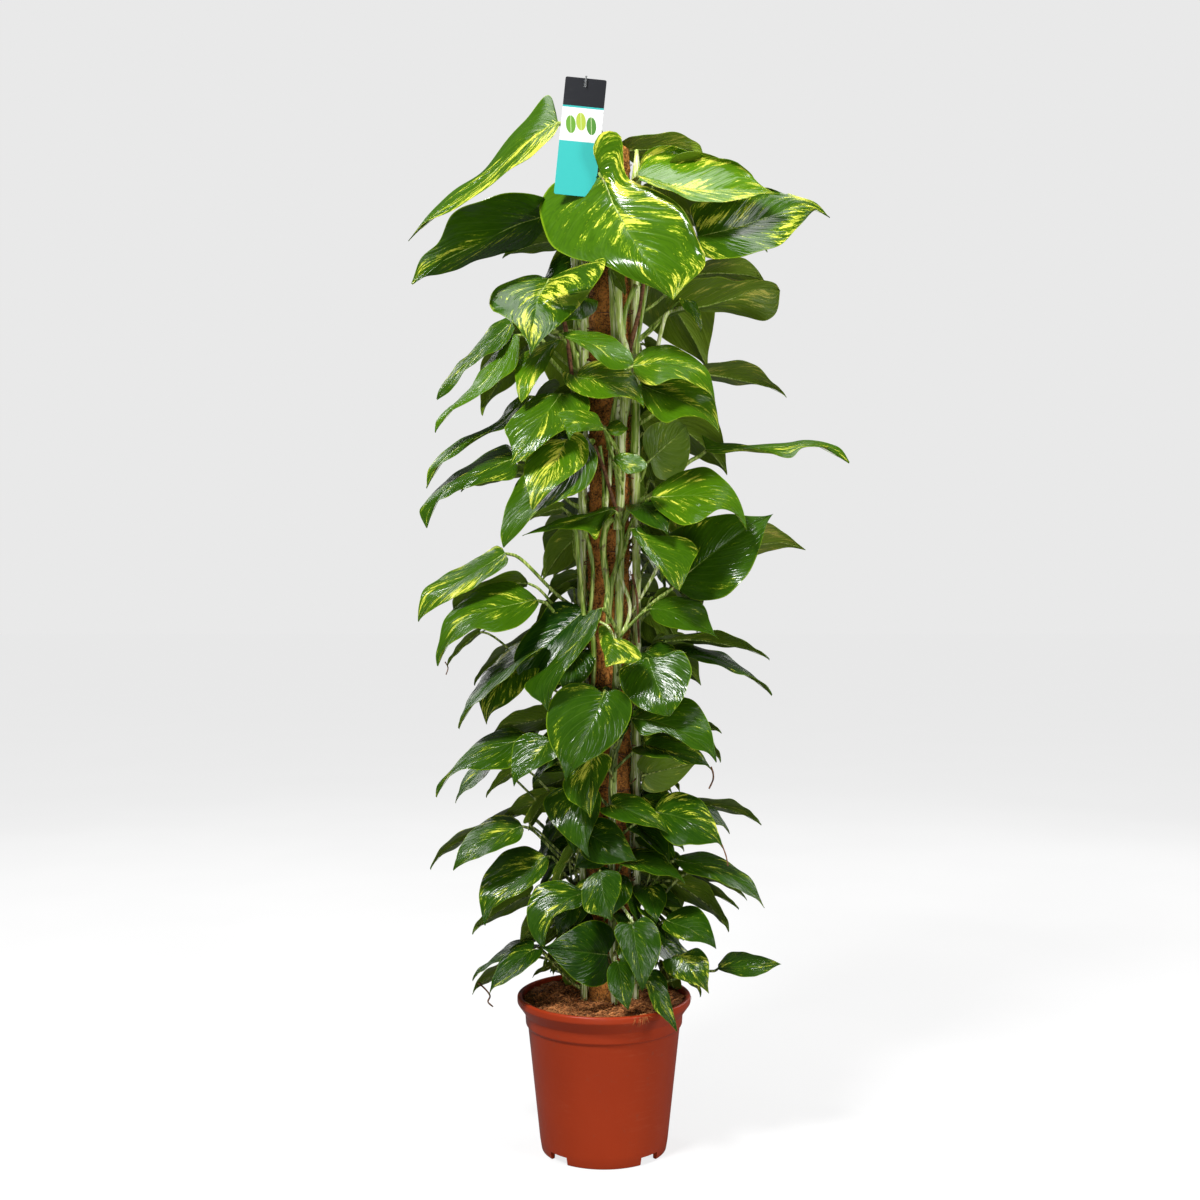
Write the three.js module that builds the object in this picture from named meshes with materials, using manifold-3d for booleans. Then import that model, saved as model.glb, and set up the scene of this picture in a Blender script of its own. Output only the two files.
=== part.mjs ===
// Golden pothos climbing a coir pole in a plastic nursery pot, with a plant tag at its top.
// Millimetres, +Z up. The front of the plant faces -Y. The sub-parts are worked out from the middle of the
// pot on the ground, and at the end the whole is moved to have its origin under the middle of its box.
import * as THREE from "three";
import { mergeVertices } from "three/addons/utils/BufferGeometryUtils.js";
import Module from "manifold-3d";

const wasm = await Module();
wasm.setup();

// Driving dimensions of the pot
const RIM_RADIUS = 120;
const RIM_WIDTH = 6.5;
const RIM_ROUND = 2;
const POT_HEIGHT = 212;
const LIP_BOTTOM = 187;
const LIP_FLARE = 15.5;
const COLLAR_RADIUS = 109;
const COLLAR_FOOT_RADIUS = 108.2;
const COLLAR_BOTTOM = 173;
const WALL_TOP_RADIUS = 105.2;
const BASE_RADIUS = 88.5;
const WALL = 1.8;
const FOOT_HEIGHT = 12;
const FOOT_RADIUS = 86;
const FOOT_WIDTH = 6;
const FOOT_GAP = 31;
const FOOT_GAP_HEIGHT = 10.8;
const FEET = 4;
const DRAIN_RADIUS = 5;
const DRAIN_CIRCLE = 66;
const DRAIN_SIDES = 10;
const POT_FLOOR = FOOT_HEIGHT + WALL;
const POT_SIDES = 32;

// Driving dimensions of the soil and the pole
const GAP = 0.35;
const SOIL_HEIGHT = 200;
const SOIL_EDGE_RADIUS = 109;
const SOIL_LUMP = 1.6;
const SOIL_CRUMB = 1.1;
const SOIL_SIDES = POT_SIDES;
const POLE_X = 7;
const POLE_RADIUS = 29;
const POLE_TOP = 1384;
const POLE_BOTTOM = 60;
const POLE_HOLE_RADIUS = 30.4;
const POLE_SIDES = 18;
const SLEEVE_RINGS = 7;
const SLEEVE_LUMP = 0.9;
const SLEEVE_EDGE = 6;
const CORE_RADIUS = 12.5;
const CORE_SIDES = 12;
const CORE_TOP = 1380;
const POINT_BOTTOM = 34;
const POINT_TOP = 52;

// Driving dimensions of the stems
const STEM_CIRCLE = 38.5;
const STEM_BOTTOM = 150;
const STEM_THIN = 4;
const STEM_THICK = 6.5;
const STEM_STEPS = 10;
const STEM_SIDES = 5;
const STEM_WANDER = 0.16;
const STEM_WAVE = 150;
const STEM_HOLE_GAP = 0.6;

// Driving dimensions of the leaves
const BLADE = 1;
const BLADE_ARCH = 0.2;
const BLADE_WAVE = 0.025;
const LEAST_WIDTH = 0.72;
const CLEARANCE = 0.8;
const STALK_THIN = 1.1;
const STALK_GROWTH = 0.011;
const STALK_FLARE = 1.25;
const STALK_TAPER = 0.75;
const STALK_SIDES = 4;
const KNEE_BACK = 0.05;
const KNEE_DOWN = 0.05;
const LONG_STALK = 110;
const STALK_LOWEST = 222;
const STALK_BELOW_TOP = 8;
const LONGEST_STALK_DROP = 150;
const NEAR_STEMS = 3;

// Driving dimensions of the tag and its holder
const CARD_WIDTH = 56;
const CARD_HEIGHT = 160;
const CARD_THICKNESS = 0.8;
const CARD_LEAN = THREE.MathUtils.degToRad(5.8);
const CARD_COLUMN = 580.3;
const CARD_ROW = 137.3;
const CARD_DEPTH = 45;
const ROD_RADIUS = 1.5;
const ROD_HOLE_DEPTH = 40;
const ROD_HOLE_SIDES = 8;
const ROD_SIDES = 6;
const HOOK_DROP = 14;

// The place that the plant is seen from, level with its middle, and the scale of the view at the pole.
// A seen place is given as a column and a row of that view, 1200 wide and high.
const VIEW_DISTANCE = 2020;
const VIEW_HEIGHT = 757;
const VIEW_SCALE = 1.387;
const AXIS_COLUMN = 604;
const GROUND_ROW = 1146;

// Climbing stems: the side of the pole each one keeps to, in degrees from the front, and its top
const STEMS = [
  { name: "vine_left", angle: -72, top: 1372, phase: 0.4 },
  { name: "vine_front", angle: 14, top: 1330, phase: 2.1 },
  { name: "vine_right", angle: 78, top: 1380, phase: 3.9 },
  { name: "vine_back_left", angle: -140, top: 1350, phase: 5.2 },
  { name: "vine_back_right", angle: 145, top: 1366, phase: 1.3 },
];

// Leaves seen from the front, from the top down: column and row of the base, column and row of the tip,
// seen width, distance of base and tip in front of the pole's axis in mm, 1 for an upper side or -1 for an
// underside, and how far the halves fold up
const SEEN_LEAVES = [
  [558, 122, 406, 238, 34, -25, 35, 1, 0.15],
  [543, 215, 414, 287, 50, -10, 10, -1, 0.15],
  [560, 240, 502, 256, 26, -60, -70, -1, 0.2],
  [600, 172, 672, 298, 128, 75, 150, 1, -0.15],
  [625, 150, 703, 152, 26, -40, -70, -1, 0.2],
  [640, 168, 778, 190, 42, 30, 80, 1, 0.1],
  [696, 238, 830, 215, 52, 10, 40, 1, 0.1],
  [690, 275, 765, 262, 24, -30, -50, -1, 0.2],
  [668, 305, 780, 292, 38, 0, 0, -1, 0.2],
  [685, 300, 702, 332, 12, -10, -10, 1, 0.08],
  [549, 279, 530, 352, 104, 50, 165, 1, -0.1],
  [612, 270, 626, 296, 14, 50, 60, -1, 0.08],
  [512, 322, 435, 398, 16, 10, 30, 1, 0.08],
  [516, 335, 433, 431, 18, 30, 50, 1, 0.08],
  [559, 338, 520, 400, 40, 40, 90, 1, 0.2],
  [526, 395, 424, 487, 12, 0, 30, 1, 0.08],
  [558, 392, 507, 466, 56, 60, 110, 1, 0.1],
  [514, 450, 424, 527, 30, 0, 30, 1, 0.3],
  [520, 472, 460, 489, 16, -20, -10, -1, 0.08],
  [567, 440, 531, 508, 56, 90, 140, 1, 0],
  [585, 440, 501, 546, 44, 70, 110, 1, 0.2],
  [604, 429, 569, 440, 24, 70, 95, 1, 0.1],
  [606, 429, 627, 428, 8, 80, 90, 1, 0.08],
  [576, 377, 645, 405, 34, 70, 120, 1, 0.1],
  [563, 336, 632, 363, 26, 60, 100, 1, 0.1],
  [633, 366, 718, 400, 32, 70, 110, 1, 0.1],
  [640, 385, 720, 431, 36, 60, 90, 1, 0.1],
  [705, 375, 787, 394, 22, -20, -40, -1, 0.2],
  [649, 461, 690, 425, 46, 20, 10, -1, 0],
  [614, 468, 641, 460, 14, 75, 95, 1, 0.08],
  [706, 450, 851, 459, 16, -10, 30, 1, 0.08],
  [652, 496, 748, 528, 46, 50, 90, 1, 0],
  [676, 583, 773, 513, 80, 20, 40, 1, 0],
  [636, 530, 680, 590, 52, 70, 110, 1, 0],
  [700, 560, 806, 548, 36, -40, -60, -1, 0.1],
  [606, 509, 522, 534, 24, 70, 110, 1, 0.2],
  [562, 508, 530, 519, 12, 10, 10, -1, 0.08],
  [575, 537, 542, 580, 34, -10, 0, -1, 0.1],
  [505, 553, 416, 620, 38, 10, 40, 1, 0.2],
  [537, 600, 435, 664, 46, 40, 80, 1, 0],
  [528, 583, 452, 608, 12, -10, 0, -1, 0.08],
  [480, 632, 446, 666, 8, -20, -20, -1, 0.08],
  [545, 630, 472, 682, 12, -40, -50, -1, 0.08],
  [535, 650, 455, 725, 16, -10, 0, 1, 0.08],
  [533, 640, 484, 723, 40, 20, 50, 1, 0.2],
  [597, 610, 545, 710, 50, 90, 130, 1, 0.4],
  [583, 612, 515, 672, 50, 40, 60, 1, 0.1],
  [613, 634, 606, 667, 44, 95, 140, 1, 0.1],
  [648, 658, 668, 715, 70, 70, 120, 1, 0],
  [604, 693, 566, 782, 84, 100, 150, 1, 0],
  [632, 718, 718, 760, 50, 80, 120, 1, 0],
  [690, 725, 722, 732, 10, -30, -40, -1, 0.08],
  [690, 730, 722, 761, 14, -10, -10, -1, 0.08],
  [645, 745, 712, 767, 28, 50, 80, 1, 0.1],
  [645, 775, 698, 762, 40, 10, 0, -1, 0],
  [655, 608, 720, 638, 32, 30, 50, 1, 0.1],
  [668, 640, 770, 655, 12, 0, -10, -1, 0.08],
  [683, 652, 774, 691, 12, -20, -20, 1, 0.08],
  [592, 752, 589, 817, 46, 80, 120, 1, 0.1],
  [578, 785, 590, 858, 56, 60, 100, 1, 0.1],
  [590, 835, 637, 861, 46, 55, 90, 1, 0],
  [600, 850, 575, 868, 30, 40, 50, 1, 0.1],
  [612, 805, 668, 831, 30, 60, 90, 1, 0.1],
  [648, 808, 724, 846, 44, 70, 110, 1, 0],
  [685, 803, 762, 821, 14, -20, -40, -1, 0.08],
  [690, 805, 731, 832, 14, -10, 0, 1, 0.08],
  [548, 718, 490, 735, 26, 0, 0, -1, 0.1],
  [530, 735, 434, 795, 44, 30, 60, 1, 0.1],
  [550, 738, 512, 785, 36, 60, 90, 1, 0.1],
  [490, 765, 454, 802, 14, 0, 10, 1, 0.08],
  [520, 768, 485, 796, 11, 10, 10, -1, 0.08],
  [556, 800, 503, 815, 26, -10, -10, -1, 0.1],
  [529, 823, 560, 787, 14, 30, 10, -1, 0.08],
  [522, 826, 452, 868, 34, 40, 70, 1, 0.1],
  [520, 812, 428, 865, 10, -20, 0, -1, 0.08],
  [675, 860, 766, 906, 30, 60, 90, 1, 0.1],
  [690, 872, 748, 898, 10, 20, 20, -1, 0.08],
  [650, 878, 740, 905, 16, -10, 0, -1, 0.08],
  [628, 860, 686, 882, 24, 75, 100, 1, 0.2],
  [672, 880, 731, 929, 26, -10, 0, -1, 0.1],
  [546, 856, 483, 924, 50, 40, 80, 1, 0],
  [583, 893, 544, 947, 44, 75, 110, 1, 0.1],
  [598, 870, 612, 920, 38, 80, 105, 1, 0.1],
  [530, 895, 471, 932, 22, 0, 10, -1, 0.1],
  [545, 915, 519, 946, 26, 10, 20, -1, 0.1],
  [572, 905, 557, 938, 24, 50, 60, 1, 0.1],
  [667, 917, 717, 946, 30, 60, 90, 1, 0],
  [682, 954, 709, 993, 44, 60, 90, 1, 0],
  [717, 968, 780, 963, 22, 20, 40, 1, 0.1],
  [632, 924, 643, 991, 46, 95, 125, 1, 0],
  [617, 962, 629, 1009, 30, 95, 120, 1, 0.1],
  [652, 982, 677, 1030, 24, 100, 122, 1, 0.1],
  [650, 975, 668, 1000, 20, 60, 80, 1, 0.1],
  [607, 955, 543, 948, 66, 70, 120, 1, 0],
  [532, 945, 471, 978, 13, 0, 10, 1, 0.08],
  [530, 955, 471, 992, 14, -30, -30, -1, 0.08],
  [533, 950, 488, 993, 26, 50, 70, 1, 0.1],
];

// Leaves of the back, placed by a rule up the pole
const BACK_LEAVES = 27;
const BACK_LOWEST = 280;
const BACK_HIGHEST = 1352;
const BACK_SPREAD = 150;
const GOLDEN_SHARE = 0.618;
const SEED = 20261127;

// Half outlines of a heart-shaped blade, from the lobe behind its stalk to its drip tip: along and across
// as shares of the length and the width, and where the vein to that point leaves the midrib
const LARGE_OUTLINE = [
  [-0.1, 0.24, 0.02],
  [0.02, 0.45, 0.07],
  [0.24, 0.5, 0.17],
  [0.49, 0.42, 0.34],
  [0.74, 0.23, 0.56],
  [0.91, 0.06, 0.8],
];
const MIDDLE_OUTLINE = [
  [-0.1, 0.27, 0.03],
  [0.06, 0.48, 0.1],
  [0.31, 0.49, 0.24],
  [0.58, 0.35, 0.45],
  [0.86, 0.11, 0.75],
];
const SMALL_OUTLINE = [
  [-0.08, 0.33, 0.05],
  [0.16, 0.5, 0.14],
  [0.48, 0.42, 0.36],
  [0.82, 0.14, 0.7],
];
const LARGE_LEAF = 160;
const SMALL_LEAF = 82;

const UP = new THREE.Vector3(0, 0, 1);
const VIEW_POINT = new THREE.Vector3(0, -VIEW_DISTANCE, VIEW_HEIGHT);

// A repeatable draw between 0 and 1
function drawer(seed) {
  let state = seed;
  return () => {
    state = (Math.imul(state, 1664525) + 1013904223) >>> 0;
    return state / 4294967296;
  };
}

// Joining and cutting
function solidOfArrays(places, corners) {
  const mesh = new wasm.Mesh({
    numProp: 3,
    vertProperties: new Float32Array(places),
    triVerts: new Uint32Array(corners),
  });
  return new wasm.Manifold(mesh);
}

function solidOf(geometry) {
  const bare = geometry.index ? geometry.toNonIndexed() : geometry.clone();
  bare.deleteAttribute("normal");
  bare.deleteAttribute("uv");
  const merged = mergeVertices(bare, 1e-4);
  return solidOfArrays(merged.attributes.position.array, merged.index.array);
}

function geometryOf(solid) {
  const mesh = solid.getMesh();
  const geometry = new THREE.BufferGeometry();
  geometry.setAttribute("position", new THREE.BufferAttribute(mesh.vertProperties, mesh.numProp));
  geometry.setIndex(new THREE.BufferAttribute(mesh.triVerts, 1));
  geometry.computeVertexNormals();
  return geometry;
}

function meshOf(name, geometry, colour, roughness) {
  const material = new THREE.MeshStandardMaterial({ color: colour, roughness, metalness: 0 });
  const mesh = new THREE.Mesh(geometry, material);
  mesh.name = name;
  return mesh;
}

// A turned solid about an upright axis: the profile is a list of radius and height
function turned(profile, sides, x = 0) {
  const points = profile.map(([radius, height]) => new THREE.Vector2(radius, height));
  return new THREE.LatheGeometry(points, sides).rotateX(Math.PI / 2).translate(x, 0, 0);
}

// The direction of a path at each of its points, halfway between those of the steps that meet there
function pathDirections(points) {
  const steps = points.slice(1).map((point, i) => point.clone().sub(points[i]).normalize());
  return points.map((point, i) => {
    const before = steps[Math.max(i - 1, 0)];
    const after = steps[Math.min(i, steps.length - 1)];
    return before.clone().add(after).normalize();
  });
}

// Rings about a path, worked from its end so that the last ring starts on a chosen side
function ringPlaces(points, radii, sides, lastSide) {
  const forwards = pathDirections(points);
  const places = [];
  let side = lastSide;
  for (let i = points.length - 1; i >= 0; i -= 1) {
    side = side.clone().addScaledVector(forwards[i], -side.dot(forwards[i])).normalize();
    const other = forwards[i].clone().cross(side);
    const ring = [];
    for (let j = 0; j < sides; j += 1) {
      const turn = (2 * Math.PI * j) / sides;
      const place = points[i].clone().addScaledVector(side, radii[i] * Math.cos(turn));
      place.addScaledVector(other, radii[i] * Math.sin(turn));
      ring.push(...place.toArray());
    }
    places.unshift(...ring);
  }
  return places;
}

// The triangles of a tube's wall and of the cap at its start
function tubeCorners(count, sides) {
  const corners = [];
  for (let i = 0; i < count - 1; i += 1) {
    for (let j = 0; j < sides; j += 1) {
      const a = i * sides + j;
      const b = i * sides + ((j + 1) % sides);
      corners.push(a, b, b + sides, a, b + sides, a + sides);
    }
  }
  for (let j = 1; j < sides - 1; j += 1) corners.push(0, j + 1, j);
  return corners;
}

// A closed tube through points, with its own radius at each
function tube(points, radii, sides) {
  const last = points.length - 1;
  const end = points[last].clone().sub(points[last - 1]);
  const places = ringPlaces(points, radii, sides, new THREE.Vector3(end.y, end.z, end.x));
  const corners = tubeCorners(points.length, sides);
  const top = last * sides;
  for (let j = 1; j < sides - 1; j += 1) corners.push(top, top + j, top + j + 1);
  return solidOfArrays(places, corners);
}

// The pot: a turned shell on four feet, with drain holes in its floor
function potSolid() {
  const profile = [
    [0, FOOT_HEIGHT],
    [FOOT_RADIUS - FOOT_WIDTH, FOOT_HEIGHT],
    [FOOT_RADIUS - FOOT_WIDTH, 0],
    [FOOT_RADIUS, 0],
    [BASE_RADIUS, POT_FLOOR + 1],
    [WALL_TOP_RADIUS, COLLAR_BOTTOM - 3],
    [COLLAR_FOOT_RADIUS, COLLAR_BOTTOM],
    [COLLAR_RADIUS, LIP_BOTTOM],
    [RIM_RADIUS, LIP_BOTTOM + LIP_FLARE],
    [RIM_RADIUS, POT_HEIGHT - RIM_ROUND],
    [RIM_RADIUS - RIM_ROUND, POT_HEIGHT],
    [RIM_RADIUS - RIM_WIDTH, POT_HEIGHT - 1],
    [COLLAR_RADIUS - WALL, LIP_BOTTOM + 2],
    [COLLAR_FOOT_RADIUS - WALL, COLLAR_BOTTOM + 1],
    [WALL_TOP_RADIUS - WALL, COLLAR_BOTTOM - 2],
    [BASE_RADIUS - WALL, POT_FLOOR],
    [0, POT_FLOOR],
  ];
  let pot = solidOf(turned(profile, POT_SIDES));
  for (let i = 0; i < FEET; i += 1) {
    const turn = ((i + 0.5) * 2 * Math.PI) / FEET;
    pot = pot.subtract(solidOf(footGap().rotateZ(turn)));
    pot = pot.subtract(solidOf(drainHole().rotateZ(turn)));
  }
  return pot;
}

function footGap() {
  const gap = new THREE.BoxGeometry(FOOT_RADIUS / 2, FOOT_GAP, 2 * FOOT_GAP_HEIGHT);
  return gap.translate(FOOT_RADIUS, 0, 0);
}

function drainHole() {
  const hole = new THREE.CylinderGeometry(DRAIN_RADIUS, DRAIN_RADIUS, 4 * WALL, DRAIN_SIDES);
  return hole.rotateX(Math.PI / 2).translate(DRAIN_CIRCLE, 0, FOOT_HEIGHT + WALL / 2);
}

// The soil: it fills the pot to below the rim, lumpy on top, with plain holes for the pole and the stems
function soilSolid(stems) {
  const inset = WALL + GAP;
  const profile = [
    [0, POT_FLOOR + GAP],
    [BASE_RADIUS - inset, POT_FLOOR + GAP],
    [WALL_TOP_RADIUS - inset, COLLAR_BOTTOM - 2],
    [COLLAR_FOOT_RADIUS - inset, COLLAR_BOTTOM + 1],
    [COLLAR_RADIUS - inset, LIP_BOTTOM + 2],
    [SOIL_EDGE_RADIUS, SOIL_HEIGHT - 3],
    [93, SOIL_HEIGHT - 1],
    [76, SOIL_HEIGHT + 1],
    [58, SOIL_HEIGHT + 2],
    [44, SOIL_HEIGHT + 3],
    [0, SOIL_HEIGHT + 3],
  ];
  const soil = turned(profile, SOIL_SIDES);
  const places = soil.attributes.position;
  for (let i = 0; i < places.count; i += 1) {
    const height = places.getZ(i);
    const lump = soilLump(places.getX(i), places.getY(i));
    if (height > SOIL_HEIGHT - 2) places.setZ(i, height + lump);
  }
  let solid = solidOf(soil).subtract(solidOf(poleHole()));
  for (const stem of stems) solid = solid.subtract(stemSolid(stem, STEM_HOLE_GAP, STEM_BOTTOM - GAP));
  return solid;
}

// How far the top of the soil rises at a place, level close to the pole
function soilLump(x, y) {
  if (Math.hypot(x, y) < 50) return 0;
  const lump = SOIL_LUMP * Math.sin(x / 9 + 1) * Math.cos(y / 8);
  return lump + SOIL_CRUMB * Math.sin((x + y) / 4.5);
}

function poleHole() {
  const profile = [
    [0, POINT_BOTTOM - GAP],
    [CORE_RADIUS + GAP, POINT_TOP],
    [CORE_RADIUS + GAP, POLE_BOTTOM - GAP],
    [POLE_HOLE_RADIUS, POLE_BOTTOM - GAP],
    [POLE_HOLE_RADIUS, POT_HEIGHT],
    [0, POT_HEIGHT],
  ];
  return turned(profile, POLE_SIDES, POLE_X);
}

// The pole: a pointed stake in a sleeve of coir
function coreSolid() {
  const profile = [
    [0, POINT_BOTTOM],
    [CORE_RADIUS, POINT_TOP],
    [CORE_RADIUS, CORE_TOP],
    [0, CORE_TOP],
  ];
  const radius = ROD_RADIUS + GAP;
  const hole = new THREE.CylinderGeometry(radius, radius, 2 * ROD_HOLE_DEPTH, ROD_HOLE_SIDES);
  hole.rotateX(Math.PI / 2);
  hole.translate(POLE_X, 0, CORE_TOP);
  return solidOf(turned(profile, CORE_SIDES, POLE_X)).subtract(solidOf(hole));
}

function sleeveSolid() {
  const inner = CORE_RADIUS + GAP;
  const profile = [[inner, POLE_TOP], [inner, POLE_BOTTOM]];
  for (let i = 0; i <= SLEEVE_RINGS; i += 1) {
    const height = THREE.MathUtils.lerp(POLE_BOTTOM, POLE_TOP - SLEEVE_EDGE, i / SLEEVE_RINGS);
    profile.push([POLE_RADIUS + SLEEVE_LUMP * Math.sin(2.3 * i), height]);
  }
  profile.push([POLE_RADIUS - SLEEVE_EDGE, POLE_TOP]);
  profile.push([inner, POLE_TOP]);
  return solidOf(turned(profile, POLE_SIDES, POLE_X));
}

// Where a climbing stem is at a height, on its side of the pole
function stemPlace(stem, height) {
  const sway = STEM_WANDER * Math.sin(height / STEM_WAVE + stem.phase);
  const angle = THREE.MathUtils.degToRad(stem.angle) + sway;
  return new THREE.Vector3(
    POLE_X + STEM_CIRCLE * Math.sin(angle),
    -STEM_CIRCLE * Math.cos(angle),
    height,
  );
}

function stemSolid(stem, extra, bottom) {
  const points = [];
  const radii = [];
  for (let i = 0; i <= STEM_STEPS; i += 1) {
    const share = i / STEM_STEPS;
    points.push(stemPlace(stem, THREE.MathUtils.lerp(STEM_BOTTOM, stem.top, share)));
    radii.push(THREE.MathUtils.lerp(STEM_THIN, STEM_THICK, Math.sqrt(share)) + extra);
  }
  points[0].z = bottom;
  radii[STEM_STEPS] *= 0.6;
  return tube(points, radii, STEM_SIDES);
}

// A seen place as a place in space, at a distance in front of the pole's axis
function seenPlace(column, row, depth) {
  const near = (VIEW_DISTANCE - depth) / VIEW_DISTANCE;
  const x = (column - AXIS_COLUMN) * VIEW_SCALE * near;
  const rise = (GROUND_ROW - row) * VIEW_SCALE - VIEW_HEIGHT;
  return new THREE.Vector3(x, -depth, VIEW_HEIGHT + rise * near);
}

// The lie of a leaf that is seen from the front, moved nearer by a shift along the lines of sight
function seenLeaf(row, shift) {
  const [baseColumn, baseRow, tipColumn, tipRow, seenWidth, baseDepth, tipDepth, face, fold] = row;
  const base = seenPlace(baseColumn, baseRow, baseDepth + shift);
  const tip = seenPlace(tipColumn, tipRow, tipDepth + shift);
  const along = tip.clone().sub(base);
  const length = along.length();
  along.normalize();
  const toView = VIEW_POINT.clone().sub(base.clone().lerp(tip, 0.5)).normalize();
  toView.addScaledVector(along, -toView.dot(along)).normalize();
  const lean = along.clone().cross(toView);
  const outward = Math.abs(lean.z) > 0.25 ? lean.z : lean.x * (baseColumn - AXIS_COLUMN);
  if (outward < 0) lean.negate();
  const shown = (seenWidth * VIEW_SCALE * (VIEW_DISTANCE - tipDepth)) / VIEW_DISTANCE;
  const width = Math.max(shown, LEAST_WIDTH * length);
  const cosine = shown / width;
  const normal = toView.multiplyScalar(face * cosine);
  normal.addScaledVector(lean, Math.sqrt(Math.max(0, 1 - cosine * cosine))).normalize();
  return { base, tip, normal, width, length, fold };
}

// The lie of a leaf of the back, turned about the pole by a shift
function backLeaf(draws, shift) {
  const share = draws.index / (BACK_LEAVES - 1);
  const length = THREE.MathUtils.lerp(104, 190, share ** 1.2) * (0.86 + 0.28 * draws.size);
  const turn = 180 + BACK_SPREAD * (((draws.index * GOLDEN_SHARE) % 1) - 0.5) + 0.7 * shift;
  const angle = THREE.MathUtils.degToRad(turn);
  const out = new THREE.Vector3(Math.sin(angle), -Math.cos(angle), 0);
  const droop = 0.35 + 0.7 * draws.droop;
  const base = new THREE.Vector3(POLE_X, 0, THREE.MathUtils.lerp(BACK_LOWEST, BACK_HIGHEST, share));
  base.addScaledVector(out, 50 + 0.2 * length + 30 * draws.reach);
  const along = out.clone().multiplyScalar(Math.cos(droop)).addScaledVector(UP, -Math.sin(droop));
  const tip = base.clone().addScaledVector(along, length);
  const normal = UP.clone().addScaledVector(along, -UP.dot(along)).normalize();
  normal.applyAxisAngle(along, 1.1 * (draws.roll - 0.5));
  return { base, tip, normal, width: 0.76 * length, length, fold: 0.1 };
}

function outlineFor(length) {
  if (length > LARGE_LEAF) return LARGE_OUTLINE;
  return length > SMALL_LEAF ? MIDDLE_OUTLINE : SMALL_OUTLINE;
}

// A place on a blade at shares of its length and width, lifted off the middle of its thickness
function bladePlace(leaf, p, q, lift) {
  const along = leaf.tip.clone().sub(leaf.base).normalize();
  const across = leaf.normal.clone().cross(along);
  const arch = BLADE_ARCH * p * (1 - p);
  const fold = leaf.fold * Math.abs(q) * (leaf.width / leaf.length);
  const wave = BLADE_WAVE * Math.sin(9 * p + 5 * q) * Math.abs(q);
  const place = leaf.base.clone().addScaledVector(along, p * leaf.length);
  place.addScaledVector(across, q * leaf.width);
  return place.addScaledVector(leaf.normal, leaf.length * (arch + fold + wave) + lift);
}

// The triangles of one face of a blade: the midrib's points come first, from base to tip, then the left
// edge's and the right edge's
function bladeFaces(count) {
  const tip = count + 1;
  const left = count + 2;
  const right = left + count;
  const faces = [[0, 1, left], [1, 0, right]];
  for (let i = 0; i < count - 1; i += 1) {
    faces.push([i + 1, i + 2, left + i + 1], [i + 2, i + 1, right + i + 1]);
    faces.push([i + 1, left + i + 1, left + i], [right + i + 1, i + 1, right + i]);
  }
  faces.push([count, tip, left + count - 1], [tip, count, right + count - 1]);
  return faces;
}

// The points around a blade's edge in their order, from its base round by the right
function bladeRim(count) {
  const left = count + 2;
  const right = left + count;
  const rim = [0];
  for (let i = 0; i < count; i += 1) rim.push(right + i);
  rim.push(count + 1);
  for (let i = count - 1; i >= 0; i -= 1) rim.push(left + i);
  return rim;
}

// The points of one face of a blade in shares of its length and width
function bladeStations(outline) {
  const midrib = outline.map(([, , vein]) => [vein, 0]);
  const left = outline.map(([p, q]) => [p, q]);
  const right = outline.map(([p, q]) => [p, -q]);
  return [[0, 0], ...midrib, [1, 0], ...left, ...right];
}

// A thin arched blade by itself, split into the same triangles on both faces
function bladeSolid(leaf, thickness) {
  const outline = outlineFor(leaf.length);
  const stations = bladeStations(outline);
  const places = [];
  for (const lift of [thickness / 2, -thickness / 2]) {
    for (const [p, q] of stations) places.push(...bladePlace(leaf, p, q, lift).toArray());
  }
  const under = stations.length;
  const corners = [];
  for (const [a, b, c] of bladeFaces(outline.length)) {
    corners.push(a, b, c, c + under, b + under, a + under);
  }
  const rim = bladeRim(outline.length);
  rim.forEach((a, i) => {
    const b = rim[(i + 1) % rim.length];
    corners.push(a + under, b + under, b, a + under, b, a);
  });
  return solidOfArrays(places, corners);
}

// Routes of a stalk: how far below the blade it leaves its stem and how far it bows to one side
const ROUTES = [
  [0.55, 0],
  [0.9, 0],
  [0.25, 0],
  [1.3, 0],
  [0.55, 0.3],
  [0.55, -0.3],
  [0.9, 0.35],
  [0.9, -0.35],
  [1.8, 0],
  [-0.2, 0],
  [-0.2, 0.35],
  [-0.2, -0.35],
  [2.4, 0.2],
  [2.4, -0.2],
];

function stalkRadius(leaf) {
  return STALK_THIN + STALK_GROWTH * leaf.length;
}

function stalkRoot(stem, leaf, drop) {
  const reach = Math.hypot(leaf.base.x - POLE_X, leaf.base.y);
  const fall = Math.min(drop * reach, LONGEST_STALK_DROP);
  const height = THREE.MathUtils.clamp(leaf.base.z - fall, STALK_LOWEST, stem.top - STALK_BELOW_TOP);
  return stemPlace(stem, height);
}

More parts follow.
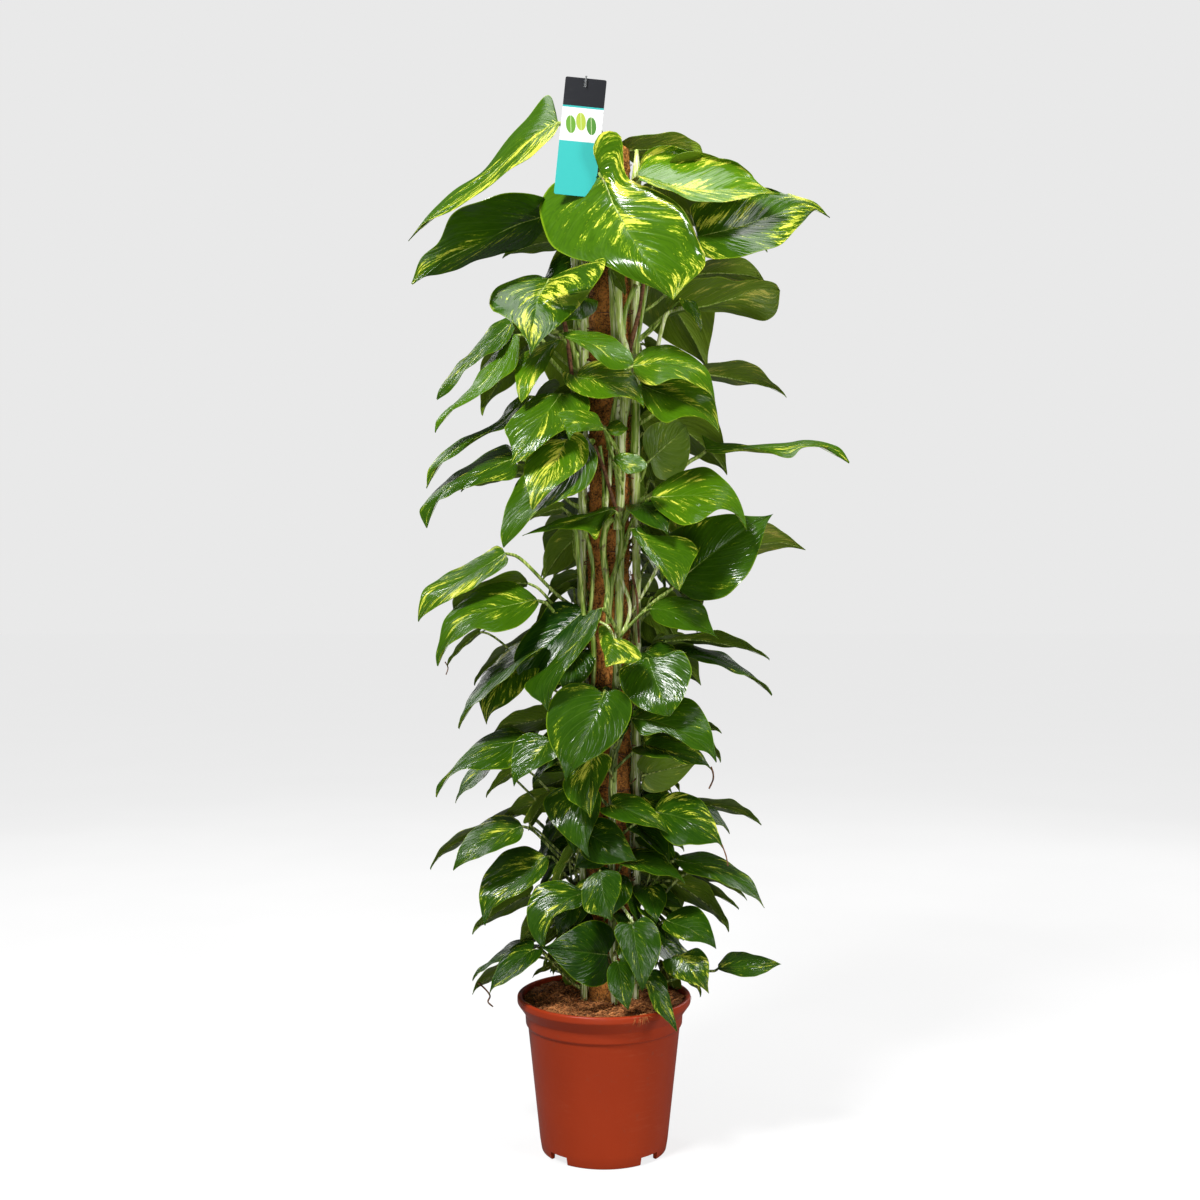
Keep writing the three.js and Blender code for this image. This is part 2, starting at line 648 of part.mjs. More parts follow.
// The path of a stalk from the middle of its stem, by a knee behind the blade, to the blade's base
function stalkPath(stem, leaf, route) {
  const [drop, bow] = route;
  const root = stalkRoot(stem, leaf, drop);
  const out = new THREE.Vector3(root.x - POLE_X, root.y, 0).normalize();
  const along = leaf.tip.clone().sub(leaf.base).normalize();
  const end = bladePlace(leaf, 0, 0, BLADE / 2 - STALK_TAPER * stalkRadius(leaf));
  const knee = end.clone().addScaledVector(along, -KNEE_BACK * leaf.length);
  knee.addScaledVector(leaf.normal, -KNEE_DOWN * leaf.length);
  const span = knee.clone().sub(root);
  const side = new THREE.Vector3(-span.y, span.x, 0).normalize().multiplyScalar(bow * span.length());
  const first = root.clone().addScaledVector(out, 0.35 * span.length());
  first.addScaledVector(UP, 0.2 * span.z).add(side);
  const second = root.clone().lerp(knee, 0.75).add(side);
  second.addScaledVector(UP, 0.1 * span.length());
  const curve = new THREE.CubicBezierCurve3(root, first, second, knee);
  const shares = span.length() > LONG_STALK ? [0.35, 0.7] : [0.5];
  return [root, ...shares.map((share) => curve.getPoint(share)), knee, end];
}

function stalkRadii(path, leaf, extra) {
  const radius = stalkRadius(leaf);
  return path.map((place, i) => {
    if (i === 0) return STALK_FLARE * radius + extra;
    return (i === path.length - 1 ? STALK_TAPER * radius : radius) + extra;
  });
}

// A leaf as one closed solid: the last ring of its stalk is the base of its blade
function leafSolid(path, leaf) {
  const outline = outlineFor(leaf.length);
  const stations = bladeStations(outline).slice(1);
  const places = ringPlaces(path, stalkRadii(path, leaf, 0), STALK_SIDES, leaf.normal);
  for (const lift of [BLADE / 2, -BLADE / 2]) {
    for (const [p, q] of stations) places.push(...bladePlace(leaf, p, q, lift).toArray());
  }
  const corners = tubeCorners(path.length, STALK_SIDES);
  const top = STALK_SIDES * (path.length - 1);
  const [toRight, under, toLeft] = [top + 1, top + 2, top + 3];
  const first = top + STALK_SIDES - 1;
  const upper = (point) => (point === 0 ? top : first + point);
  const lower = (point) => (point === 0 ? under : first + stations.length + point);
  for (const [a, b, c] of bladeFaces(outline.length)) {
    corners.push(upper(a), upper(b), upper(c), lower(c), lower(b), lower(a));
  }
  const rim = bladeRim(outline.length).slice(1);
  for (let i = 1; i < rim.length; i += 1) {
    const [a, b] = [rim[i - 1], rim[i]];
    corners.push(lower(a), lower(b), upper(b), lower(a), upper(b), upper(a));
  }
  const [right, left] = [rim[0], rim[rim.length - 1]];
  corners.push(toRight, under, lower(right), toRight, lower(right), upper(right));
  corners.push(toRight, upper(right), top);
  corners.push(toLeft, top, upper(left), toLeft, upper(left), lower(left));
  corners.push(toLeft, lower(left), under);
  return solidOfArrays(places, corners);
}

// Whether a solid meets any of the placed ones that the test picks
function boxesMeet(a, b) {
  return a.min.every((low, i) => low <= b.max[i] && b.min[i] <= a.max[i]);
}

function meets(solid, placed, test) {
  const box = solid.boundingBox();
  return placed.some((other) => {
    if (!test(other) || !boxesMeet(box, other.box)) return false;
    return solid.intersect(other.solid).volume() > 0;
  });
}

function stemsByNearness(stems, place) {
  const far = (stem) => place.distanceTo(stemPlace(stem, Math.min(place.z, stem.top)));
  return [...stems].sort((a, b) => far(a) - far(b));
}

// A leaf is put where it crosses nothing: shifted nearer or further, and its stalk led another way
const SHIFTS = [0, 6, -6, 12, -12, 20, -20, 30, -30, 42, -42, 56, -56];

function placeLeaf(lie, stems, placed, strict) {
  for (const shift of SHIFTS) {
    const leaf = lie(shift);
    const blade = bladeSolid(leaf, BLADE + 2 * CLEARANCE);
    for (const stem of stemsByNearness(stems, leaf.base).slice(0, NEAR_STEMS)) {
      const isOther = (other) => strict || other.owner !== stem.name;
      if (meets(blade, placed, isOther)) continue;
      const isOthers = (other) => other.owner !== stem.name || (strict && other.kind === "blade");
      for (const route of ROUTES) {
        const path = stalkPath(stem, leaf, route);
        const stalk = tube(path, stalkRadii(path, leaf, CLEARANCE), STALK_SIDES);
        if (meets(stalk, placed, isOthers) || piercesBlade(path, leaf)) continue;
        return { leaf, stem, path };
      }
    }
  }
  return null;
}

// Whether a stalk crosses its own blade before it reaches the knee
function piercesBlade(path, leaf) {
  const shaft = tube(path.slice(0, -1), stalkRadii(path, leaf, 0).slice(0, -1), STALK_SIDES);
  return shaft.intersect(bladeSolid(leaf, BLADE)).volume() > 0;
}

function addPlaced(placed, owner, kind, solid) {
  placed.push({ owner, kind, solid, box: solid.boundingBox() });
}

// The leafy stems: every leaf fused to the stem that it grows from
function vineSolids(obstacles) {
  const placed = [...obstacles];
  const bodies = new Map();
  for (const stem of STEMS) {
    const solid = stemSolid(stem, 0, STEM_BOTTOM);
    bodies.set(stem.name, solid);
    addPlaced(placed, stem.name, "stem", solid);
  }
  const lies = SEEN_LEAVES.map((row) => (shift) => seenLeaf(row, shift));
  const draw = drawer(SEED);
  for (let index = 0; index < BACK_LEAVES; index += 1) {
    const draws = { index, size: draw(), droop: draw(), reach: draw(), roll: draw() };
    lies.push((shift) => backLeaf(draws, shift));
  }
  for (const lie of lies) {
    const found = placeLeaf(lie, STEMS, placed, true) || placeLeaf(lie, STEMS, placed, false);
    if (!found) continue;
    const { leaf, stem, path } = found;
    addPlaced(placed, stem.name, "blade", bladeSolid(leaf, BLADE));
    addPlaced(placed, stem.name, "stalk", tube(path, stalkRadii(path, leaf, 0), STALK_SIDES));
    bodies.set(stem.name, bodies.get(stem.name).add(leafSolid(path, leaf)));
  }
  return bodies;
}

// The tag: a card clipped to a thin clear rod that stands in the top of the pole
function cardGeometry() {
  const card = new THREE.BoxGeometry(CARD_WIDTH, CARD_THICKNESS, CARD_HEIGHT);
  const middle = cardPlace(0, 0, 0);
  return card.rotateY(CARD_LEAN).translate(middle.x, middle.y, middle.z);
}

// A place on the card: across, up from its middle, and in front of its middle plane
function cardPlace(across, up, front) {
  const middle = seenPlace(CARD_COLUMN, CARD_ROW, CARD_DEPTH);
  const place = new THREE.Vector3(across, -front, up).applyAxisAngle(new THREE.Vector3(0, 1, 0), CARD_LEAN);
  return place.add(middle);
}

function rodSolid() {
  const clear = CARD_THICKNESS / 2 + GAP + ROD_RADIUS;
  const top = CARD_HEIGHT / 2 + GAP + ROD_RADIUS;
  const points = [
    new THREE.Vector3(POLE_X, 0, POLE_TOP - ROD_HOLE_DEPTH),
    new THREE.Vector3(POLE_X, 0, POLE_TOP + 8),
    cardPlace(4, 40, -clear - 6),
    cardPlace(0, 60, -clear),
    cardPlace(0, top, -clear),
    cardPlace(0, top, clear),
    cardPlace(0, top - HOOK_DROP, clear),
  ];
  return tube(points, points.map(() => ROD_RADIUS), ROD_SIDES);
}

const obstacles = [];
const pot = potSolid();
const soil = soilSolid(STEMS);
const core = coreSolid();
const sleeve = sleeveSolid();
const rod = rodSolid();
const card = solidOf(cardGeometry());
for (const solid of [pot, soil, core, sleeve, rod, card]) addPlaced(obstacles, "holder", "solid", solid);
const vines = vineSolids(obstacles);

const plant = new THREE.Group();
plant.name = "potted_golden_pothos";
plant.add(meshOf("pot", geometryOf(pot), 0xa8452a, 0.45));
plant.add(meshOf("soil", geometryOf(soil), 0x4a2e1d, 0.95));
plant.add(meshOf("pole_core", geometryOf(core), 0xb08a5a, 0.8));
plant.add(meshOf("coir_sleeve", geometryOf(sleeve), 0x6b3e22, 0.95));
for (const [name, solid] of vines) plant.add(meshOf(name, geometryOf(solid), 0x3f7a1e, 0.3));
plant.add(meshOf("tag_stake", geometryOf(rod), 0xdfe6e6, 0.15));
plant.add(meshOf("tag", cardGeometry(), 0xe9efee, 0.4));

// The whole plant is moved so that the origin is on the ground under the middle of its box
const whole = new THREE.Box3().setFromObject(plant, true);
const middle = whole.getCenter(new THREE.Vector3());
for (const mesh of plant.children) mesh.geometry.translate(-middle.x, -middle.y, 0);

export default plant;
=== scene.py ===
import math
import random

import bmesh
import bpy
import numpy as np
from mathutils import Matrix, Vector
from mathutils.bvhtree import BVHTree
from mathutils.kdtree import KDTree


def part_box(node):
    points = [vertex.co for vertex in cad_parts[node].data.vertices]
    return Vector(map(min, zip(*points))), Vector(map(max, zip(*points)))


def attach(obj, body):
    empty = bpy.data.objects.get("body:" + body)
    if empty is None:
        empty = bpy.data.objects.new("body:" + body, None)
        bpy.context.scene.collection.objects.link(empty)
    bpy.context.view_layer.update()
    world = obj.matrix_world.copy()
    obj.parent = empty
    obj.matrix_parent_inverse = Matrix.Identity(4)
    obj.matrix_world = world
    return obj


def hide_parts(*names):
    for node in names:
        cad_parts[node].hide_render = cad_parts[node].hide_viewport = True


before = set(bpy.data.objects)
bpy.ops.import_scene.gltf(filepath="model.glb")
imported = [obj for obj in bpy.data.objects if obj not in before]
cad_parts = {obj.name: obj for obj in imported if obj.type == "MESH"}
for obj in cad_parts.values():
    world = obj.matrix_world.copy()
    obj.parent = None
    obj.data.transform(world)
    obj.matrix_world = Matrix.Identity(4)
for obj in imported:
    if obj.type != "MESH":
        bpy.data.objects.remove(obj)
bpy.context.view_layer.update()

MM = 0.001
POT_LOW, POT_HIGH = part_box("pot")
AXIS = np.array(((POT_LOW.x + POT_HIGH.x) / 2, (POT_LOW.y + POT_HIGH.y) / 2, 0.0))
random.seed(20261127)

# The view of the photograph
VIEW_DISTANCE = 2020
VIEW_HEIGHT = 757
VIEW_SCALE = 1.387
AXIS_COLUMN = 604
GROUND_ROW = 1146
PHOTO_SIZE = 1200
SENSOR = 36

# Pot, soil and pole, as in the source
RIM_RADIUS = 120
POT_HEIGHT = 212
LIP_BOTTOM = 187
LIP_FLARE = 15.5
COLLAR_RADIUS = 109
COLLAR_FOOT_RADIUS = 108.2
COLLAR_BOTTOM = 173
WALL_TOP_RADIUS = 105.2
BASE_RADIUS = 88.5
WALL = 1.8
FOOT_HEIGHT = 12
FOOT_RADIUS = 86
FOOT_WIDTH = 6
FOOT_GAP = 31
FOOT_GAP_HEIGHT = 10.8
DRAIN_RADIUS = 5
DRAIN_CIRCLE = 66
POT_FLOOR = FOOT_HEIGHT + WALL
GAP = 0.35
SOIL_HEIGHT = 200
SOIL_EDGE_RADIUS = 109
POLE_X = 7
POLE_RADIUS = 29
POLE_TOP = 1384
POLE_BOTTOM = 60
CORE_RADIUS = 12.5

# Stems, leaves and tag, as in the source
STEM_CIRCLE = 38.5
STEM_BOTTOM = 150
STEM_THIN = 4
STEM_THICK = 6.5
STEM_WANDER = 0.16
STEM_WAVE = 150
BLADE = 1
BLADE_ARCH = 0.2
BLADE_WAVE = 0.025
LEAST_WIDTH = 0.72
STALK_THIN = 1.1
STALK_GROWTH = 0.011
STALK_TAPER = 0.75
KNEE_BACK = 0.05
KNEE_DOWN = 0.05
LONG_STALK = 110
STALK_LOWEST = 222
STALK_BELOW_TOP = 8
LONGEST_STALK_DROP = 150
CARD_WIDTH = 56
CARD_HEIGHT = 160
CARD_THICKNESS = 0.8
CARD_LEAN = math.radians(5.8)
CARD_COLUMN = 580.3
CARD_ROW = 137.3
CARD_DEPTH = 45
ROD_RADIUS = 1.5
ROD_HOLE_DEPTH = 40
HOOK_DROP = 14

# Climbing stems: side of the pole in degrees from the front, top, and phase of the wander
STEMS = {
    "vine_left": (-72, 1372, 0.4),
    "vine_front": (14, 1330, 2.1),
    "vine_right": (78, 1380, 3.9),
    "vine_back_left": (-140, 1350, 5.2),
    "vine_back_right": (145, 1366, 1.3),
}

# Leaves seen from the front, a line each: column and row of base and tip, seen width, distance of base and
# tip in front of the pole, side that shows, fold, and then the finish: share of yellow, brightness (partly
# the leaf's own tone, partly painted light and shade on it), and the fuller side
SEEN_LEAVES = """
558 122 406 238 34 -25 35 1 0.15 0.7 0.35 1
543 215 414 287 50 -10 10 -1 0.15 0.3 0.3 0
560 240 502 256 26 -60 -70 -1 0.2 0.1 0.1 0
600 172 672 298 128 75 150 1 -0.15 0.5 0.5 1
625 150 703 152 26 -40 -70 -1 0.2 0.5 0.6 0
640 168 778 190 42 30 80 1 0.1 0.85 0.9 0
696 238 830 215 52 10 40 1 0.1 0.75 0.3 0
690 275 765 262 24 -30 -50 -1 0.2 0.6 0.45 0
668 305 780 292 38 0 0 -1 0.2 0.4 0.3 0
685 300 702 332 12 -10 -10 1 0.08 0.5 0.35 0
549 279 530 352 104 50 165 1 -0.1 0.62 0.25 0
612 270 626 296 14 50 60 -1 0.08 0.2 0.4 0
512 322 435 398 16 10 30 1 0.08 0.4 0.3 0
516 335 433 431 18 30 50 1 0.08 0.15 0.85 0
559 338 520 400 40 40 90 1 0.2 0.65 1 0
526 395 424 487 12 0 30 1 0.08 0.5 0.5 0
558 392 507 466 56 60 110 1 0.1 0.2 0.55 0
514 450 424 527 30 0 30 1 0.3 0.3 0.35 0
520 472 460 489 16 -20 -10 -1 0.08 0.2 0.25 0
567 440 531 508 56 90 140 1 0 0.9 0.75 0
585 440 501 546 44 70 110 1 0.2 0.2 0.5 0
604 429 569 440 24 70 95 1 0.1 0.4 0.7 0
606 429 627 428 8 80 90 1 0.08 0.5 0.8 0
576 377 645 405 34 70 120 1 0.1 0.7 0.75 0
563 336 632 363 26 60 100 1 0.1 0.2 0.65 0
633 366 718 400 32 70 110 1 0.1 0.5 0.7 0
640 385 720 431 36 60 90 1 0.1 0.5 0.75 0
705 375 787 394 22 -20 -40 -1 0.2 0.6 0.45 0
649 461 690 425 46 20 10 -1 0 0.1 0.1 0
614 468 641 460 14 75 95 1 0.08 0.4 0.7 0
706 450 851 459 16 -10 30 1 0.08 0.5 0.6 0
652 496 748 528 46 50 90 1 0 0.5 0.85 0
676 583 773 513 80 20 40 1 0 0.15 0.45 0
636 530 680 590 52 70 110 1 0 0.35 0.65 0
700 560 806 548 36 -40 -60 -1 0.1 0.6 0.9 0
606 509 522 534 24 70 110 1 0.2 0.3 0.65 0
562 508 530 519 12 10 10 -1 0.08 0.2 0.3 0
575 537 542 580 34 -10 0 -1 0.1 0.2 0.25 0
505 553 416 620 38 10 40 1 0.2 0.5 0.65 0
537 600 435 664 46 40 80 1 0 0.4 0.65 0
528 583 452 608 12 -10 0 -1 0.08 0.2 0.2 0
480 632 446 666 8 -20 -20 -1 0.08 0.2 0.33 0
545 630 472 682 12 -40 -50 -1 0.08 0.2 0.33 0
535 650 455 725 16 -10 0 1 0.08 0.2 0.33 0
533 640 484 723 40 20 50 1 0.2 0.65 0.5 0
597 610 545 710 50 90 130 1 0.4 0.1 0.3 0
583 612 515 672 50 40 60 1 0.1 0.05 0.02 0
613 634 606 667 44 95 140 1 0.1 0.9 0.75 0
648 658 668 715 70 70 120 1 0 0.2 0.45 0
604 693 566 782 84 100 150 1 0 0.15 0.4 0
632 718 718 760 50 80 120 1 0 0.2 0.5 0
690 725 722 732 10 -30 -40 -1 0.08 0.2 0.31 0
690 730 722 761 14 -10 -10 -1 0.08 0.2 0.31 0
645 745 712 767 28 50 80 1 0.1 0.45 0.45 0
645 775 698 762 40 10 0 -1 0 0.2 0.35 0
655 608 720 638 32 30 50 1 0.1 0.2 0.55 0
668 640 770 655 12 0 -10 -1 0.08 0.2 0.33 0
683 652 774 691 12 -20 -20 1 0.08 0.2 0.33 0
592 752 589 817 46 80 120 1 0.1 0.75 0.6 0
578 785 590 858 56 60 100 1 0.1 0.15 0.35 0
590 835 637 861 46 55 90 1 0 0.1 0.25 0
600 850 575 868 30 40 50 1 0.1 0.1 0.3 0
612 805 668 831 30 60 90 1 0.1 0.45 0.4 0
648 808 724 846 44 70 110 1 0 0.4 0.3 1
685 803 762 821 14 -20 -40 -1 0.08 0.2 0.29 0
690 805 731 832 14 -10 0 1 0.08 0.2 0.29 0
548 718 490 735 26 0 0 -1 0.1 0.1 0.3 0
530 735 434 795 44 30 60 1 0.1 0.3 0.4 0
550 738 512 785 36 60 90 1 0.1 0.2 0.45 0
490 765 454 802 14 0 10 1 0.08 0.2 0.3 0
520 768 485 796 11 10 10 -1 0.08 0.2 0.3 0
556 800 503 815 26 -10 -10 -1 0.1 0.2 0.3 0
529 823 560 787 14 30 10 -1 0.08 0.2 0.29 0
522 826 452 868 34 40 70 1 0.1 0.5 0.5 0
520 812 428 865 10 -20 0 -1 0.08 0.2 0.29 0
675 860 766 906 30 60 90 1 0.1 0.25 0.45 0
690 872 748 898 10 20 20 -1 0.08 0.2 0.28 0
650 878 740 905 16 -10 0 -1 0.08 0.2 0.28 0
628 860 686 882 24 75 100 1 0.2 0.35 0.4 0
672 880 731 929 26 -10 0 -1 0.1 0.2 0.3 0
546 856 483 924 50 40 80 1 0 0.55 0.45 0
583 893 544 947 44 75 110 1 0.1 0.32 0.35 0
598 870 612 920 38 80 105 1 0.1 0.25 0.35 0
530 895 471 932 22 0 10 -1 0.1 0.2 0.3 0
545 915 519 946 26 10 20 -1 0.1 0.2 0.3 0
572 905 557 938 24 50 60 1 0.1 0.2 0.3 0
667 917 717 946 30 60 90 1 0 0.3 0.4 0
682 954 709 993 44 60 90 1 0 0.7 0.45 0
717 968 780 963 22 20 40 1 0.1 0.4 0.6 0
632 924 643 991 46 95 125 1 0 0.15 0.4 0
617 962 629 1009 30 95 120 1 0.1 0.1 0.45 0
652 982 677 1030 24 100 122 1 0.1 0.4 0.4 0
650 975 668 1000 20 60 80 1 0.1 0.2 0.3 0
607 955 543 948 66 70 120 1 0 0.1 0.2 0
532 945 471 978 13 0 10 1 0.08 0.2 0.26 0
530 955 471 992 14 -30 -30 -1 0.08 0.2 0.26 0
533 950 488 993 26 50 70 1 0.1 0.2 0.3 0
"""

